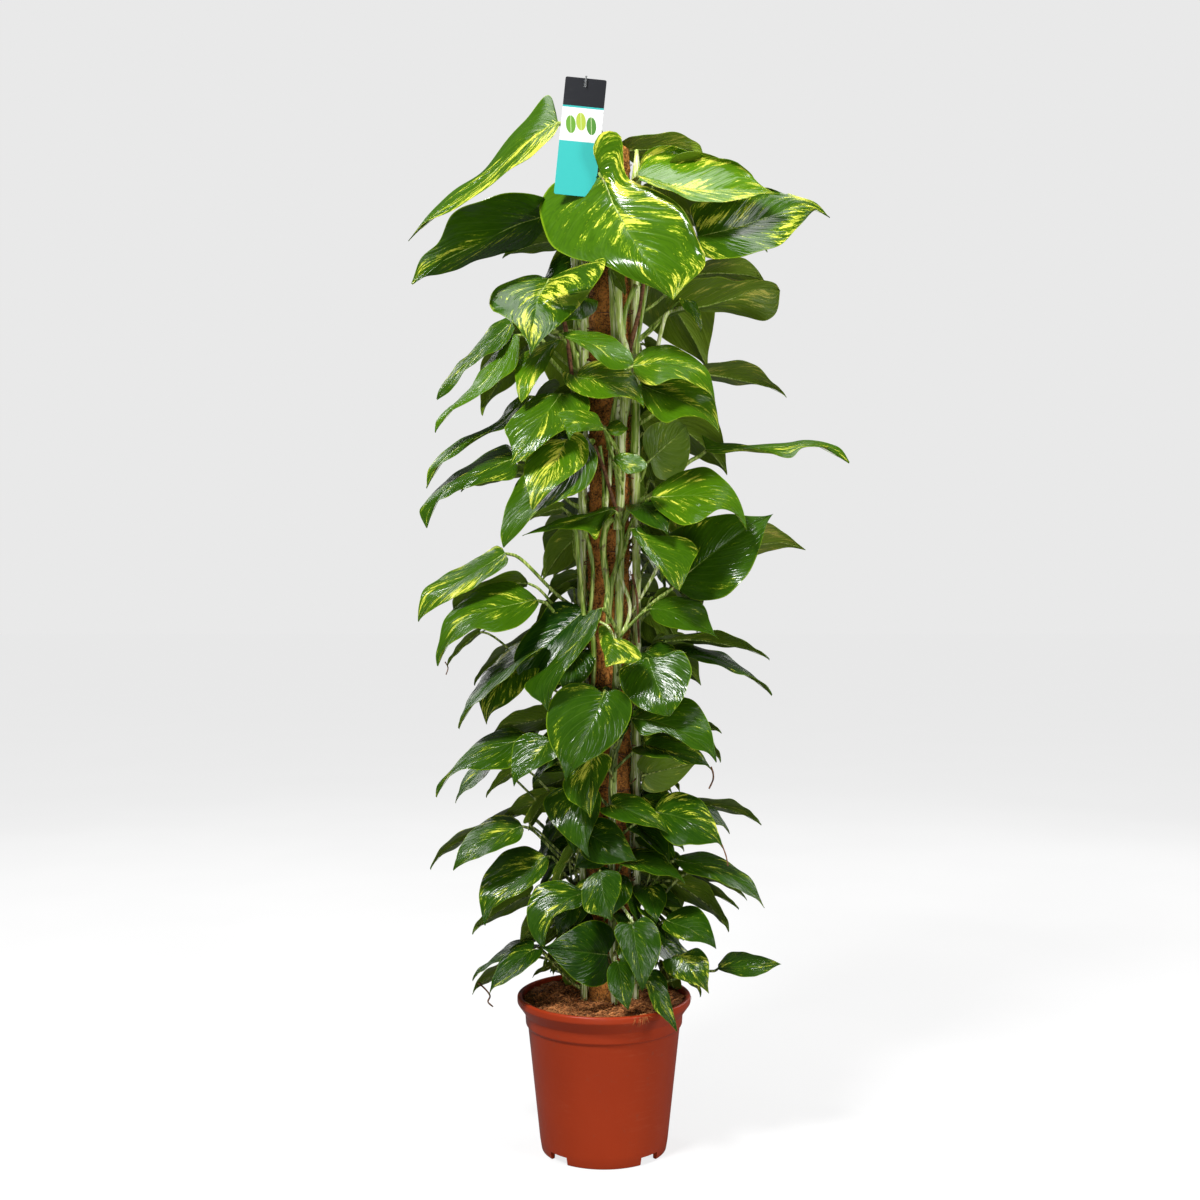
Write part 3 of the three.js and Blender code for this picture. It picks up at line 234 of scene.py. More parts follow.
# Outlines of the leaves that show best: the leaf's place in the table above, counted from 0, its midrib in
# even steps from base to tip, and its two edges, first the left one for a walk from base to tip on the upper
# side. A knot is a column and a row, and its distance in front of the pole where that differs from the
# blade's slope. On an edge the share of the way to the tip comes first.
OUTLINES = """
0 /
558 122, 526 141, 490 175, 450 204, 406 238 /
0 560 127, .12 552 138, .3 530 155, .5 497 181, .7 457 208, .85 425 223 /
0 556 112 -80, .06 552 97 -96, .12 548 95 -102, .3 524 124 -84, .5 484 168, .7 446 196, .85 422 221;
1 /
543 217, 515 225, 480 244, 446 260, 414 287 /
0 545 230, .15 527 246, .35 500 255, .55 470 265, .75 442 274, .9 424 278 /
0 545 198, .15 525 194, .35 485 199, .55 452 213, .75 439 243, .9 420 262;
3 /
600 174 56, 617 212 78, 636 243 112, 654 270 138, 672 298 150 /
0 598 166 58, .06 593 149 60, .12 603 133 60, .18 620 135 58, .26 624 170 62, .4 655 193 75, .55 687 214 95,
  .7 698 245 112, .82 705 265 125, .92 686 284 140 /
0 596 178 45, .06 585 180 10, .12 571 177 -8, .2 552 183 -8, .3 541 203 10, .4 542 223 36, .5 551 245 64, .6
  570 257 88, .7 600 264 112, .8 630 279 126, .9 654 288 140;
4 /
625 150, 645 149, 665 149, 685 149, 703 152 /
0 625 156, .15 635 164, .35 655 168, .6 680 166, .8 694 162, .92 701 158 /
0 621 143, .15 632 137, .35 650 134, .6 678 133, .8 690 139, .92 700 145;
5 /
638 176, 674 186, 710 190, 746 190, 778 191 /
0 638 165, .08 645 157, .2 668 156, .4 695 160, .6 722 165, .8 748 173, .92 763 185 /
0 639 180, .2 662 190, .4 690 199, .6 722 201, .8 747 199, .92 763 193;
6 /
697 238, 730 229, 765 218, 800 206, 831 215 /
0 696 228, .08 690 212, .2 702 200, .4 735 197, .6 765 191, .8 797 197, .92 818 203 /
0 698 246, .08 701 254, .2 716 259, .4 745 257, .6 778 245, .8 801 224, .92 819 208;
7 /
690 276, 709 273, 730 273, 748 275, 765 280 /
0 690 281, .2 703 284, .5 730 285, .8 755 283 /
0 693 272, .2 706 262, .5 728 258, .7 745 259, .88 757 269;
8 /
668 310, 696 308, 724 301, 752 290, 780 288 /
0 670 318, .2 690 311, .4 715 312, .6 742 316, .8 768 320, .92 778 308 /
0 664 300, .2 680 284, .4 715 278, .6 738 281, .8 763 280, .92 776 283;
10 /
549 279, 539 297, 535 315, 532 334, 531 352 /
0 552 277 56, .08 568 268 78, .16 588 262 100, .24 605 259 116, .32 603 273 118, .4 594 289 120, .55 579
  306, .72 561 323, .88 541 340 /
0 547 278 52, .08 535 277, .18 512 283, .28 494 293, .38 489 307, .5 501 313, .65 513 324, .82 524 337, .92
  529 345;
12 /
512 322, 491 341, 472 359, 456 377, 435 398 /
0 515 328, .2 503 347, .4 484 357, .6 467 369, .8 455 386, .92 446 393 /
0 506 318, .2 489 329, .4 472 350, .6 458 364, .8 444 382, .92 438 391;
13 /
516 335, 499 363, 480 386, 457 405, 433 431 /
0 520 338, .2 517 362, .4 500 381, .6 480 396, .8 452 411, .9 441 420 /
0 511 332, .2 494 355, .4 476 379, .6 460 397, .8 445 411, .9 436 420;
14 /
559 338, 545 352, 532 368, 524 384, 520 402 /
0 561 341, .25 554 352, .5 544 370, .75 534 386, .9 527 397 /
0 554 338, .12 541 344, .25 528 350, .5 516 367, .75 516 387, .9 518 397;
15 /
526 396, 503 423, 474 438, 446 456, 424 487 /
0 530 398, .1 521 412, .25 505 429, .45 480 438, .65 457 453, .8 440 465, .92 429 475 /
0 521 394, .1 509 405, .25 498 421, .45 475 433, .65 452 446, .8 435 460, .92 426 472;
16 /
560 394, 548 412, 535 430, 522 448, 508 466 /
0 575 393, .12 588 398, .25 589 411, .45 570 427, .65 543 444, .85 525 458 /
0 548 393, .12 534 396, .3 516 414, .5 505 429, .7 509 441, .88 512 455;
17 /
515 458, 491 466, 466 479, 441 495, 424 527 /
0 518 468, .1 514 478, .25 495 482, .45 465 488, .65 447 497, .8 436 503, .92 429 514 /
0 513 450, .1 506 445, .25 488 451, .45 462 469, .65 441 486, .8 425 503, .9 419 512;
19 /
567 440, 558 456, 549 472, 540 490, 531 509 /
0 570 438, .1 578 432, .2 587 440, .32 588 456, .45 580 469, .6 565 481, .75 550 492, .9 538 503 /
0 562 440, .1 545 440, .2 532 444, .32 527 457, .45 524 471, .6 526 485, .75 529 496, .9 530 504;
20 /
585 440, 566 467, 545 492, 522 517, 501 546 /
0 588 438, .12 596 452, .25 597 470, .4 583 490, .55 558 500, .7 538 513, .85 518 534 /
0 580 440, .12 560 447, .25 540 462, .4 521 477, .55 511 495, .7 504 514, .85 500 532;
21 /
604 429, 591 424, 579 423, 571 430, 569 440 /
0 603 431, .3 588 431, .55 579 432, .8 573 434 /
0 603 425, .2 596 414, .4 580 411, .6 563 411, .75 558 415, .88 564 426;
22 /
606 429, 611 428, 616 428, 622 428, 628 428 /
0 607 427, .3 613 421, .6 620 421, .85 625 426 /
0 607 431, .3 612 435, .6 619 436, .85 625 432;
23 /
576 377, 594 380, 610 385, 627 392, 645 406 /
0 576 374, .1 584 365, .25 600 361, .45 618 367, .65 633 374, .8 640 388, .92 643 398 /
0 572 379, .08 563 371, .16 564 382, .3 580 394, .5 603 398, .7 625 398, .88 639 402;
24 /
563 336, 582 341, 600 348, 617 356, 634 361 /
0 564 332, .25 585 331, .5 606 335, .75 624 346, .9 632 354 /
0 565 338, .25 583 347, .5 598 360, .75 614 370, .9 627 368;
25 /
633 366, 656 363, 680 366, 700 377, 717 402 /
0 633 360, .1 641 351, .25 657 346, .42 676 347, .6 694 358, .78 709 373, .9 714 388 /
0 634 374, .1 640 382, .25 655 385, .42 674 378, .6 690 383, .78 706 391, .9 713 397;
26 /
640 385, 659 392, 680 399, 702 411, 721 432 /
0 642 380, .15 658 378, .35 680 378, .55 700 387, .75 713 398, .9 718 415 /
0 638 386, .15 642 400, .3 651 414, .45 666 422, .6 684 416, .78 703 419, .92 715 427;
28 /
649 461, 659 452, 668 444, 678 435, 686 426 /
0 651 464, .12 654 474, .3 664 480, .5 681 474, .7 689 458, .85 690 440 /
0 648 458, .12 644 449, .3 643 436, .5 650 426, .7 664 421, .85 677 420;
29 /
613 460, 620 463, 627 466, 634 470, 641 471 /
0 614 457, .2 622 453, .45 636 455, .7 645 461, .9 646 468 /
0 614 462, .3 620 469, .6 628 474, .85 636 473;
30 /
706 450, 742 448.5, 780 447.5, 815 444.5, 851 460 /
0 704 442, .07 702 435, .15 714 442, .3 742 446, .5 775 443.5, .7 805 440.5, .85 830 443, .94 843 449 /
0 704 452, .12 717 453.5, .3 748 450, .42 770 454, .5 783 459, .58 793 458, .66 801 450, .8 822 447, .92 837
  449;
31 /
652 497, 676 496, 702 497, 728 504, 749 529 /
0 653 491, .12 661 482, .3 685 471, .45 706 469, .6 724 479, .75 737 495, .9 745 514 /
0 651 500, .12 657 510, .3 678 524, .45 694 523, .6 708 516, .75 723 510, .88 738 516;
32 /
676 583, 700 563, 724 545, 748 528, 773 512 /
0 670 575, .12 662 555, .28 668 533, .45 695 521, .62 725 515, .8 752 516, .92 765 515 /
0 681 592, .12 695 600, .28 722 598, .45 742 582, .62 755 560, .8 763 537, .92 768 521;
33 /
634 529, 647 542, 660 557, 670 573, 680 591 /
0 640 527, .15 655 537, .3 676 536, .45 692 542, .58 698 551, .72 692 564, .86 686 578 /
0 631 530, .15 633 536, .3 641 546, .5 653 562, .7 663 574, .88 673 586;
34 /
700 560, 726 550, 752 545, 779 542, 806 548 /
0 702 566, .3 735 562, .55 758 555, .8 785 548 /
0 702 545, .3 735 525, .5 762 521, .75 785 533, .9 798 543;
35 /
612 509, 589 517, 566 524, 543 529, 522 534 /
0 616 512, .1 604 524, .18 597 540, .3 588 532, .5 566 528, .75 544 532 /
0 618 507, .1 606 507, .3 583 514, .6 556 521, .85 535 529;
38 /
505 553, 483 567, 460 582, 437 597, 416 620 /
0 508 558, .1 506 565, .2 496 573, .4 477 586, .6 454 598, .8 435 608, .92 422 615 /
0 503 549, .1 496 547, .25 479 556, .4 462 565, .6 440 579, .75 424 590, .88 419 604;
39 /
537 600, 509 605, 482 613, 457 630, 435 665 /
0 539 604, .12 534 611, .28 514 628, .42 494 633, .55 476 630, .7 458 639, .85 442 651, .94 437 658 /
0 535 597, .12 526 590, .28 510 583, .42 487 583, .55 467 596, .7 446 618, .85 439 642, .94 435 656;
40 /
528 583, 509 583, 489 588, 469 596, 452 609 /
0 526 579, .15 516 571, .35 495 576, .6 473 588, .85 453 599 /
0 527 587, .3 505 592, .6 482 597, .85 462 603;
44 /
533 640, 517 658, 502 680, 490 703, 484 724 /
0 537 645, .15 541 660, .35 535 678, .5 524 689, .7 508 703, .88 490 714 /
0 528 638, .15 512 646, .35 492 665, .5 481 682, .7 479 698, .88 482 713;
45 /
597 610, 584 633, 566 658, 550 684, 545 711 /
0 602 608, .15 600 619, .35 590 640, .55 573 664, .75 556 686, .9 548 701 /
0 591 611, .15 578 624, .35 564 648, .5 546 667, .62 525 684, .75 530 695, .9 542 704;
46 /
583 612, 568 625, 552 640, 535 657, 518 676 /
0 588 620, .3 570 650, .6 545 672, .85 526 684 /
0 578 605, .25 552 603, .5 537 622, .75 517 648, .9 514 664;
47 /
614 639, 612 645, 610 652, 608 660, 606 667 /
0 616 639, .15 626 640, .35 637 648, .55 641 659, .75 627 663, .9 613 665 /
0 612 637, .15 606 627, .3 599 627, .5 600 642, .75 604 655, .9 605 663;
48 /
648 659, 653 673, 658 687, 664 701, 669 716 /
0 652 658, .12 665 655, .28 682 651, .42 691 666, .6 688 686, .8 680 704, .92 673 712 /
0 644 659, .12 630 661, .28 620 670, .42 621 687, .6 632 702, .8 650 712, .92 662 715;
49 /
604 693, 597 712, 588 732, 577 756, 566 783 /
0 606 692, .1 616 690, .22 629 698, .35 631 715, .5 621 736, .65 602 753, .8 583 764, .92 570 774 /
0 601 692, .1 590 685, .22 570 684, .35 553 697, .5 546 721, .65 550 744, .8 560 762, .92 564 774;
50 /
632 718, 655 722, 679 731, 700 743, 718 761 /
0 633 712, .12 645 704, .3 670 697, .45 690 699, .6 704 714, .78 712 732, .9 715 748 /
0 632 723, .12 641 734, .3 664 733, .45 678 740, .6 692 748, .78 707 753, .9 714 757;
55 /
650 609, 667 611, 684 617, 701 627, 720 638 /
0 652 605, .15 665 598, .35 690 597, .55 704 606, .75 710 622, .9 715 634 /
0 650 613, .15 656 622, .35 672 629, .55 688 630, .75 702 632, .9 714 635;
58 /
592 752, 591 768, 590 784, 590 801, 589 818 /
0 597 751, .15 611 757, .35 607 773, .6 599 790, .85 593 808 /
0 586 753, .15 572 765, .35 563 785, .5 567 798, .7 578 806, .9 587 813;
59 /
578 785, 580 803, 583 822, 586 840, 590 859 /
0 584 783, .15 599 792, .35 600 810, .6 593 829, .85 588 847 /
0 572 784, .15 552 792, .3 543 803, .45 550 820, .65 565 837, .85 580 849;
63 /
655 812, 673 816, 691 822, 709 832, 724 847 /
0 656 806, .15 666 795, .3 681 792, .5 701 801, .68 713 818, .85 719 834 /
0 657 818, .15 661 833, .3 673 845, .5 692 845, .7 709 844, .88 719 843;
67 /
530 737, 503 745, 477 756, 453 772, 434 796 /
0 533 743, .12 527 757, .28 510 768, .45 488 770, .6 468 769, .78 450 777, .92 438 788 /
0 526 733, .12 513 729, .28 495 731, .45 474 744, .6 460 760, .78 447 774, .92 436 787;
68 /
550 740, 541 750, 531 761, 521 773, 513 786 /
0 553 743, .15 559 753, .35 548 762, .6 533 771, .85 518 780 /
0 546 736, .15 530 733, .35 515 743, .6 511 763, .85 512 777;
73 /
522 826, 506 832, 489 842, 470 856, 452 869 /
0 524 830, .12 521 838, .3 505 847, .5 488 855, .7 472 860, .88 458 866 /
0 519 821, .12 509 816, .3 489 819, .5 469 832, .7 460 848, .88 455 862;
75 /
675 860, 698 865, 722 873, 745 886, 766 907 /
0 677 857, .15 690 853, .35 713 854, .55 735 866, .75 752 881, .9 760 897 /
0 677 864, .15 688 874, .35 710 878, .55 728 886, .75 745 893, .9 759 900;
80 /
546 857, 530 870, 512 885, 496 902, 483 925 /
0 549 860, .15 546 872, .35 531 887, .55 512 897, .75 497 906, .9 486 915 /
0 541 853, .15 525 847, .35 503 852, .55 486 873, .75 479 894, .9 481 912;
81 /
583 894, 566 900, 551 913, 542 932, 544 949 /
0 585 899, .2 580 906, .4 563 912, .6 552 920, .8 546 936 /
0 580 889, .15 562 881, .35 537 888, .55 527 907, .75 529 928, .9 537 943;
82 /
600 872, 602 884, 604 897, 608 909, 612 921 /
0 606 870, .2 619 873, .5 620 892, .8 614 908 /
0 594 873, .2 584 882, .45 582 901, .6 585 911, .8 600 916;
86 /
666 920, 678 925, 691 930, 704 938, 717 948 /
0 667 916, .15 675 910, .35 691 906, .6 706 916, .82 713 933 /
0 663 922, .12 662 928, .3 673 936, .55 690 941, .8 706 944;
87 /
680 956, 687 964, 694 972, 702 982, 709 994 /
0 684 953, .2 697 948, .45 708 959, .7 709 975, .88 708 986 /
0 677 957, .15 664 960, .35 667 973, .6 686 982, .85 702 988;
88 /
718 968, 733 967, 748 966, 764 965, 781 963 /
0 718 965, .15 726 955, .4 742 952, .65 759 956, .85 772 960 /
0 719 970, .15 729 974, .4 748 977, .65 763 974, .85 773 968;
89 /
632 925, 635 941, 638 957, 641 974, 643 992 /
0 635 922, .1 644 917, .25 657 927, .4 661 944, .6 656 963, .8 648 979 /
0 629 924, .1 621 922, .25 614 932, .4 620 948, .6 629 965, .8 637 981;
90 /
618 962, 620 973, 622 985, 625 997, 629 1010 /
0 621 960, .2 631 963, .45 635 980, .75 632 996 /
0 614 961, .2 608 969, .45 608 988, .75 619 1001;
91 /
650 982, 657 994, 663 1006, 670 1018, 678 1031 /
0 653 980, .2 662 984, .5 671 1003, .8 675 1019 /
0 646 984, .2 649 995, .5 657 1012, .8 670 1024
"""

# Stems, stalks and roots that show between the leaves: seen width, kind, distance in front of the pole, and
# columns and rows along them (and the distance where it differs)
SEEN_STALKS = [
    (
        9, "pale", 47,
        "617 262, 618 310, 621 335, 626 354, 628 375, 626 402, 622 430, 621 455, 621 480, 620 505, 617 530",
    ),
    (5, "brown", 40, "644 284, 640 310, 634 332, 629 352"),
    (4, "green", 41, "647 284, 642 315, 637 345, 636 354"),
    (5, "green", 44, "636 285, 628 303, 624 320, 624 334"),
    (7, "pale", 18, "574 258, 578 300, 577 330, 582 352, 588 366, 592 390"),
    (4.5, "brown", 35, "564 320, 568 345, 572 376"),
    (5, "green", 34, "570 338, 575 356, 580 376"),
    (4.5, "pale", 20, "692 307 -8, 678 309 6, 667 314, 662 328, 658 346, 655 364"),
    (4, "green", 48, "616 398, 612 418, 609 434, 608 450"),
    (8, "green", 36, "636 404, 635 430, 634 454"),
    (4, "green", 54, "604 426, 609 445, 614 462, 617 480"),
    (4, "brown", 51, "594 446, 604 470, 610 490, 617 512"),
    (4, "green", 46, "600 446 50, 603 470, 604 490, 603 514 55"),
    (5, "pale", 49, "611 446, 610 475, 607 498, 604 520 60"),
    (5, "pale", 30, "583 478 20, 583 500, 587 522"),
    (7, "green", 50, "612 518 55, 606 527, 603 545, 605 570, 608 590, 606 612 60"),
    (6, "green", 46, "628 511, 622 526, 622 545, 617 566, 612 582, 610 602, 608 624"),
    (5, "green", 36, "574 524 40, 576 536, 578 560, 581 585, 584 616 44"),
    (4.5, "green", 42, "582 524 30, 589 545, 593 570, 592 592, 590 616"),
    (4, "pale", 44, "620 566, 622 582, 628 597, 630 611, 626 626, 618 640"),
    (3.5, "pale", 30, "660 562 20, 652 578, 643 594, 635 607, 629 618 40"),
    (2.5, "brown", 34, "632 574, 637 598, 638 622, 639 643"),
    (3.5, "green", 42, "676 586 25, 655 601 35, 636 619 42, 617 640 46"),
    (3, "pale", 56, "600 622 48, 609 628, 614 640 90"),
    (5, "green", 43, "593 636, 594 660, 593 686"),
    (1.5, "brown", 44, "581 662, 586 664, 589 672"),
    (4, "green", 45, "622 736, 614 760, 611 785, 613 812"),
    (3.5, "pale", 60, "608 884 46, 617 900, 626 912 80, 633 923 95"),
    (5, "green", -12, "630 690, 631 740, 632 780, 630 830"),
    (5, "green", 0, "630 440, 629 470, 628 505"),
    (1.8, "brown", 78, "711 767, 713 773, 713 780, 709 789"),
    (1.8, "brown", -27, "478 983, 485 989, 490 996, 488 1002, 493 1007"),
    (1.2, "brown", -20, "445 662, 448 668, 446 675"),
    (1.4, "brown", 101, "722 845, 726 856, 728 866"),
]

# Rolled edges: which edge, from and to which share, and the radius of the roll
ROLLED_EDGES = {3: (1, 0.3, 0.78, 8), 5: (1, 0.02, 0.85, 7), 6: (1, 0.3, 0.75, 5), 10: (-1, 0.02, 0.42, 4)}

# Leaves of the back, placed by a rule up the pole: how many, their heights and lengths from the lowest to the
# highest, the degrees they spread over, and the start, step, shift and range of the source's own draws
BACK_LEAVES = 27
BACK_HEIGHTS = (280, 1352)
BACK_LENGTHS = (104, 190)
BACK_SPREAD = 150
GOLDEN_SHARE = 0.618
BACK_DRAWS = (20261127, 1664525, 1013904223, 4294967296)

# Half outlines of the source's blades, along and across: of the ones over this length, of the ones between,
# and of the ones up to this length
LARGE_OUTLINE = ((-0.1, 0.24), (0.02, 0.45), (0.24, 0.5), (0.49, 0.42), (0.74, 0.23), (0.91, 0.06))
MIDDLE_OUTLINE = ((-0.1, 0.27), (0.06, 0.48), (0.31, 0.49), (0.58, 0.35), (0.86, 0.11))
SMALL_OUTLINE = ((-0.08, 0.33), (0.16, 0.5), (0.48, 0.42), (0.82, 0.14))
LARGE_LEAF = 160
SMALL_LEAF = 82

# How far the side veins sweep towards the tip on their way to the edge, and how they bow
VEIN_SWEEP = 0.36
VEIN_BOW = 0.9

# The least that an outlined blade faces the view, how far away from it the source's may face before it is
# turned over, and the least upward lean that decides which way a blade leans, which else is outwards
LEAST_FACING = 0.45
MOST_TURNED_AWAY = 0.2
LEVEL_LEAN = 0.25

# Rolled edges: the share of a blade they fade in over, the share of its side that rolls, and how far round
ROLL_FADE = 0.12
ROLL_SHARE = 0.45
ROLL_TURN = 2.7

# Where the source's rule may have moved a leaf to, and the routes of its stalk
SHIFTS = (0, 6, -6, 12, -12, 20, -20, 30, -30, 42, -42, 56, -56)
ROUTES = (
    (0.55, 0), (0.9, 0), (0.25, 0), (1.3, 0), (0.55, 0.3), (0.55, -0.3), (0.9, 0.35),
    (0.9, -0.35), (1.8, 0), (-0.2, 0), (-0.2, 0.35), (-0.2, -0.35), (2.4, 0.2), (2.4, -0.2),
)

# How near a blade's corner lies to a corner of its solid, and the least share of them that makes a match
CORNER_NEAR = 0.06
LEAST_FOUND = 0.5

# Outline of a whole blade at shares of its vein map: where the vein leaves the midrib, the edge along and
# across, and how the lines between the two bow
EDGE_SHARES = (0, 0.06, 0.13, 0.2, 0.28, 0.45, 0.63, 0.82, 1)
EDGE_MIDRIB = (0, 0.015, 0.05, 0.1, 0.17, 0.34, 0.56, 0.8, 1)
EDGE_ALONG = (-0.075, -0.112, -0.04, 0.1, 0.24, 0.49, 0.74, 0.91, 1)
EDGE_ACROSS = (0.14, 0.27, 0.41, 0.485, 0.5, 0.42, 0.23, 0.065, 0.0015)
EDGE_BOW = 1.3

# Small leaves within the bush: how many, the most tries, the number of the first, and for the lowest and the
# highest their heights, their lengths and how far they reach to either side
INNER_LEAVES = 185
INNER_TRIES = 8000
FIRST_INNER = 200
INNER_HEIGHTS = (240, 1290)
INNER_LENGTHS = (72, 118)
INNER_REACH = (125, 92)

# Where they stay away: near the front at the heights where the pole shows, low down except behind, and high
# up unless this share of their corners is hidden by the leaves seen from the front
BARE_POLE = ((430, 620), (640, 1300))
BARE_ANGLE = 0.75
RIM_CLEAR = 300
BEHIND = 2.0
OPEN_ABOVE = 1030
LEAST_HIDDEN = 0.75

# Shares and sides of the corners of a blade's coarse copy
COARSE_SHARES = np.linspace(0, 1, 9)
COARSE_SIDES = (-1, -0.5, 0, 0.5, 1)

# How much there is of what is small, how far apart a stem's nodes are, and how high the soil stands over the
# source's round the pole
CRUMBS = 420
STRAWS = 2200
RIM_STRAWS = 16
COIR_FIBRES = 3600
NODE_SPACING = 46
SOIL_RISE = 7

# How finely each piece is divided: sides round it, rings along it, and rows and columns of a blade
POT_SIDES = 128
SOIL_SIDES = 120
SOIL_RINGS = 48
SLEEVE_SIDES = 56
SLEEVE_RINGS = 260
STEM_SIDES = 12
STEM_RINGS = 150
STALK_SIDES = 8
ROOT_SIDES = 5
FIBRE_SIDES = 3
ROD_SIDES = 16
LARGE_BLADE = (48, 16)
SMALL_BLADE = (24, 8)

# Shades of a leaf's upper side and underside: dark and bright green, pale, yellow, and its veins
UPPER_SHADES = (
    (0.006, 0.033, 0.002, 1), (0.09, 0.22, 0.003, 1), (0.22, 0.35, 0.01, 1), (0.66, 0.66, 0.075, 1),
    (0.15, 0.27, 0.03, 1),
)
UNDER_SHADES = (
    (0.08, 0.15, 0.01, 1), (0.26, 0.38, 0.022, 1), (0.34, 0.42, 0.04, 1), (0.6, 0.56, 0.1, 1),
    (0.32, 0.42, 0.08, 1),
)

# The studio's lights in metres: place, where each aims, width and height, and power
LIGHTS = {
    "key": ((-1.1, -1.6, 2.9), (0, 0, 0.9), (0.55, 0.55), 100),
    "fill": ((2.3, -1.9, 1.5), (0, 0, 0.7), (1.0, 1.6), 46),
    "low_front": ((-0.4, -2.6, 0.4), (0, 0, 0.15), (1.2, 0.5), 13),
    "overhead": ((0.1, 0.1, 3.2), (0, 0, 0.6), (1.2, 1.2), 22),
    "back_left": ((-1.9, 2.0, 2.1), (0, 0, 0.9), (1.0, 1.6), 22),
    "back_right": ((2.0, 2.1, 1.9), (0, 0, 0.9), (1.0, 1.6), 22),
}

TURN = 2 * math.pi
UP = np.array((0.0, 0.0, 1.0))
VIEW_POINT = np.array((0.0, -VIEW_DISTANCE, VIEW_HEIGHT))


# Places in millimetres
def unit(v):
    return v / np.linalg.norm(v)


def lerp(a, b, share):
    return a + (b - a) * share


def bend(start, middle, end, share):
    """A place on a soft curve from start to end that the middle draws towards itself."""
    return start * (1 - share) ** 2 + middle * 2 * share * (1 - share) + end * share**2


def on_curve(root, first, second, knee, share):
    rest = 1 - share
    return root * rest**3 + 3 * first * rest**2 * share + 3 * second * rest * share**2 + knee * share**3


def smooth_through(at, knots, values):
    """A soft curve through values at knots."""
    knots, values = np.array(knots), np.array(values)
    slopes = np.gradient(values, knots)
    i = np.clip(np.searchsorted(knots, at, side="right") - 1, 0, len(knots) - 2)
    step = knots[i + 1] - knots[i]
    u = (at - knots[i]) / step
    pull = (u**3 - 2 * u**2 + u) * slopes[i] + (u**3 - u**2) * slopes[i + 1]
    return (2 * u**3 - 3 * u**2 + 1) * values[i] + (3 * u**2 - 2 * u**3) * values[i + 1] + pull * step


def smooth_places(at, knots, places):
    """A soft curve through places at knots."""
    return np.stack([smooth_through(at, knots, line) for line in places.T], -1)


def flat_blade(share, side):
    """Shares of a whole blade's length and width, by vein and by share of the way to the edge."""
    midrib = smooth_through(share, EDGE_SHARES, EDGE_MIDRIB)
    edge = smooth_through(share, EDGE_SHARES, EDGE_ALONG)
    p = midrib + (edge - midrib) * np.abs(side) ** EDGE_BOW
    return p, smooth_through(share, EDGE_SHARES, EDGE_ACROSS) * side


def level_way(angle):
    """The level direction at an angle from the front."""
    return np.array((math.sin(angle), -math.cos(angle), 0.0))


def turned_about(v, axis, angle):
    cosine, sine = math.cos(angle), math.sin(angle)
    return v * cosine + np.cross(axis, v) * sine + axis * (axis @ v) * (1 - cosine)


def drooping(way, droop, roll):
    """The run of a blade that droops along a level way, and how it faces when it is rolled about its run."""
    along = way * math.cos(droop) - UP * math.sin(droop)
    return along, turned_about(unit(UP - along * (UP @ along)), along, roll)


def in_frame(places):
    """Millimetres from the pot's middle as metres of the shared frame."""
    return np.asarray(places, float) * MM + AXIS


def seen_place(column, row, depth):
    near = (VIEW_DISTANCE - depth) / VIEW_DISTANCE
    rise = (GROUND_ROW - row) * VIEW_SCALE - VIEW_HEIGHT
    return np.array(((column - AXIS_COLUMN) * VIEW_SCALE * near, -depth, VIEW_HEIGHT + rise * near))


def stem_place(stem, height):
    side, _, phase = STEMS[stem]
    angle = math.radians(side) + STEM_WANDER * math.sin(height / STEM_WAVE + phase)
    return np.array((POLE_X + STEM_CIRCLE * math.sin(angle), -STEM_CIRCLE * math.cos(angle), height))


class Leaf:
    """The lie of a blade: base, tip, the way its upper side faces, width, length and fold."""

    def __init__(self, base, tip, normal, width, fold):
        self.base, self.tip, self.normal, self.width, self.fold = base, tip, normal, width, fold
        self.length = float(np.linalg.norm(tip - base))
        self.along = unit(tip - base)
        self.across = np.cross(normal, self.along)
        self.radius = STALK_THIN + STALK_GROWTH * self.length
        self.calm = 1

    def places(self, p, q, lift):
        """Places on the blade at shares of its length and width, lifted off its middle."""
        p, q = np.asarray(p, float), np.asarray(q, float)
        arch = BLADE_ARCH * p * (1 - p)
        fold = self.fold * np.abs(q) * (self.width / self.length)
        wave = BLADE_WAVE * np.sin(9 * p + 5 * q) * np.abs(q)
        rise = self.length * (arch + fold + wave) + lift
        flat = self.base + np.outer(p * self.length, self.along) + np.outer(q * self.width, self.across)
        return flat + np.outer(rise, self.normal)

    def surface(self, share, side):
        """Places on the blade, and the way it faces there, by vein and by share of the way to the edge."""
        return self.places(*flat_blade(share, side), 0), np.tile(self.normal, (len(share), 1))


def outline_knots(line):
    return [[float(word) for word in knot.split()] for knot in line.split(",")]


def leaf_rows():
    """The table of seen leaves: the lie and the finish of each."""
    rows = [[float(word) for word in line.split()] for line in SEEN_LEAVES.split("\n")[1:-1]]
    return [(row[:9], row[9:]) for row in rows]


def leaf_outlines():
    """The midrib and the two edges of each leaf that has an outline, by the leaf's number."""
    entries = [entry.split("/") for entry in OUTLINES.split(";")]
    return {int(entry[0]): [outline_knots(line) for line in entry[1:]] for entry in entries}


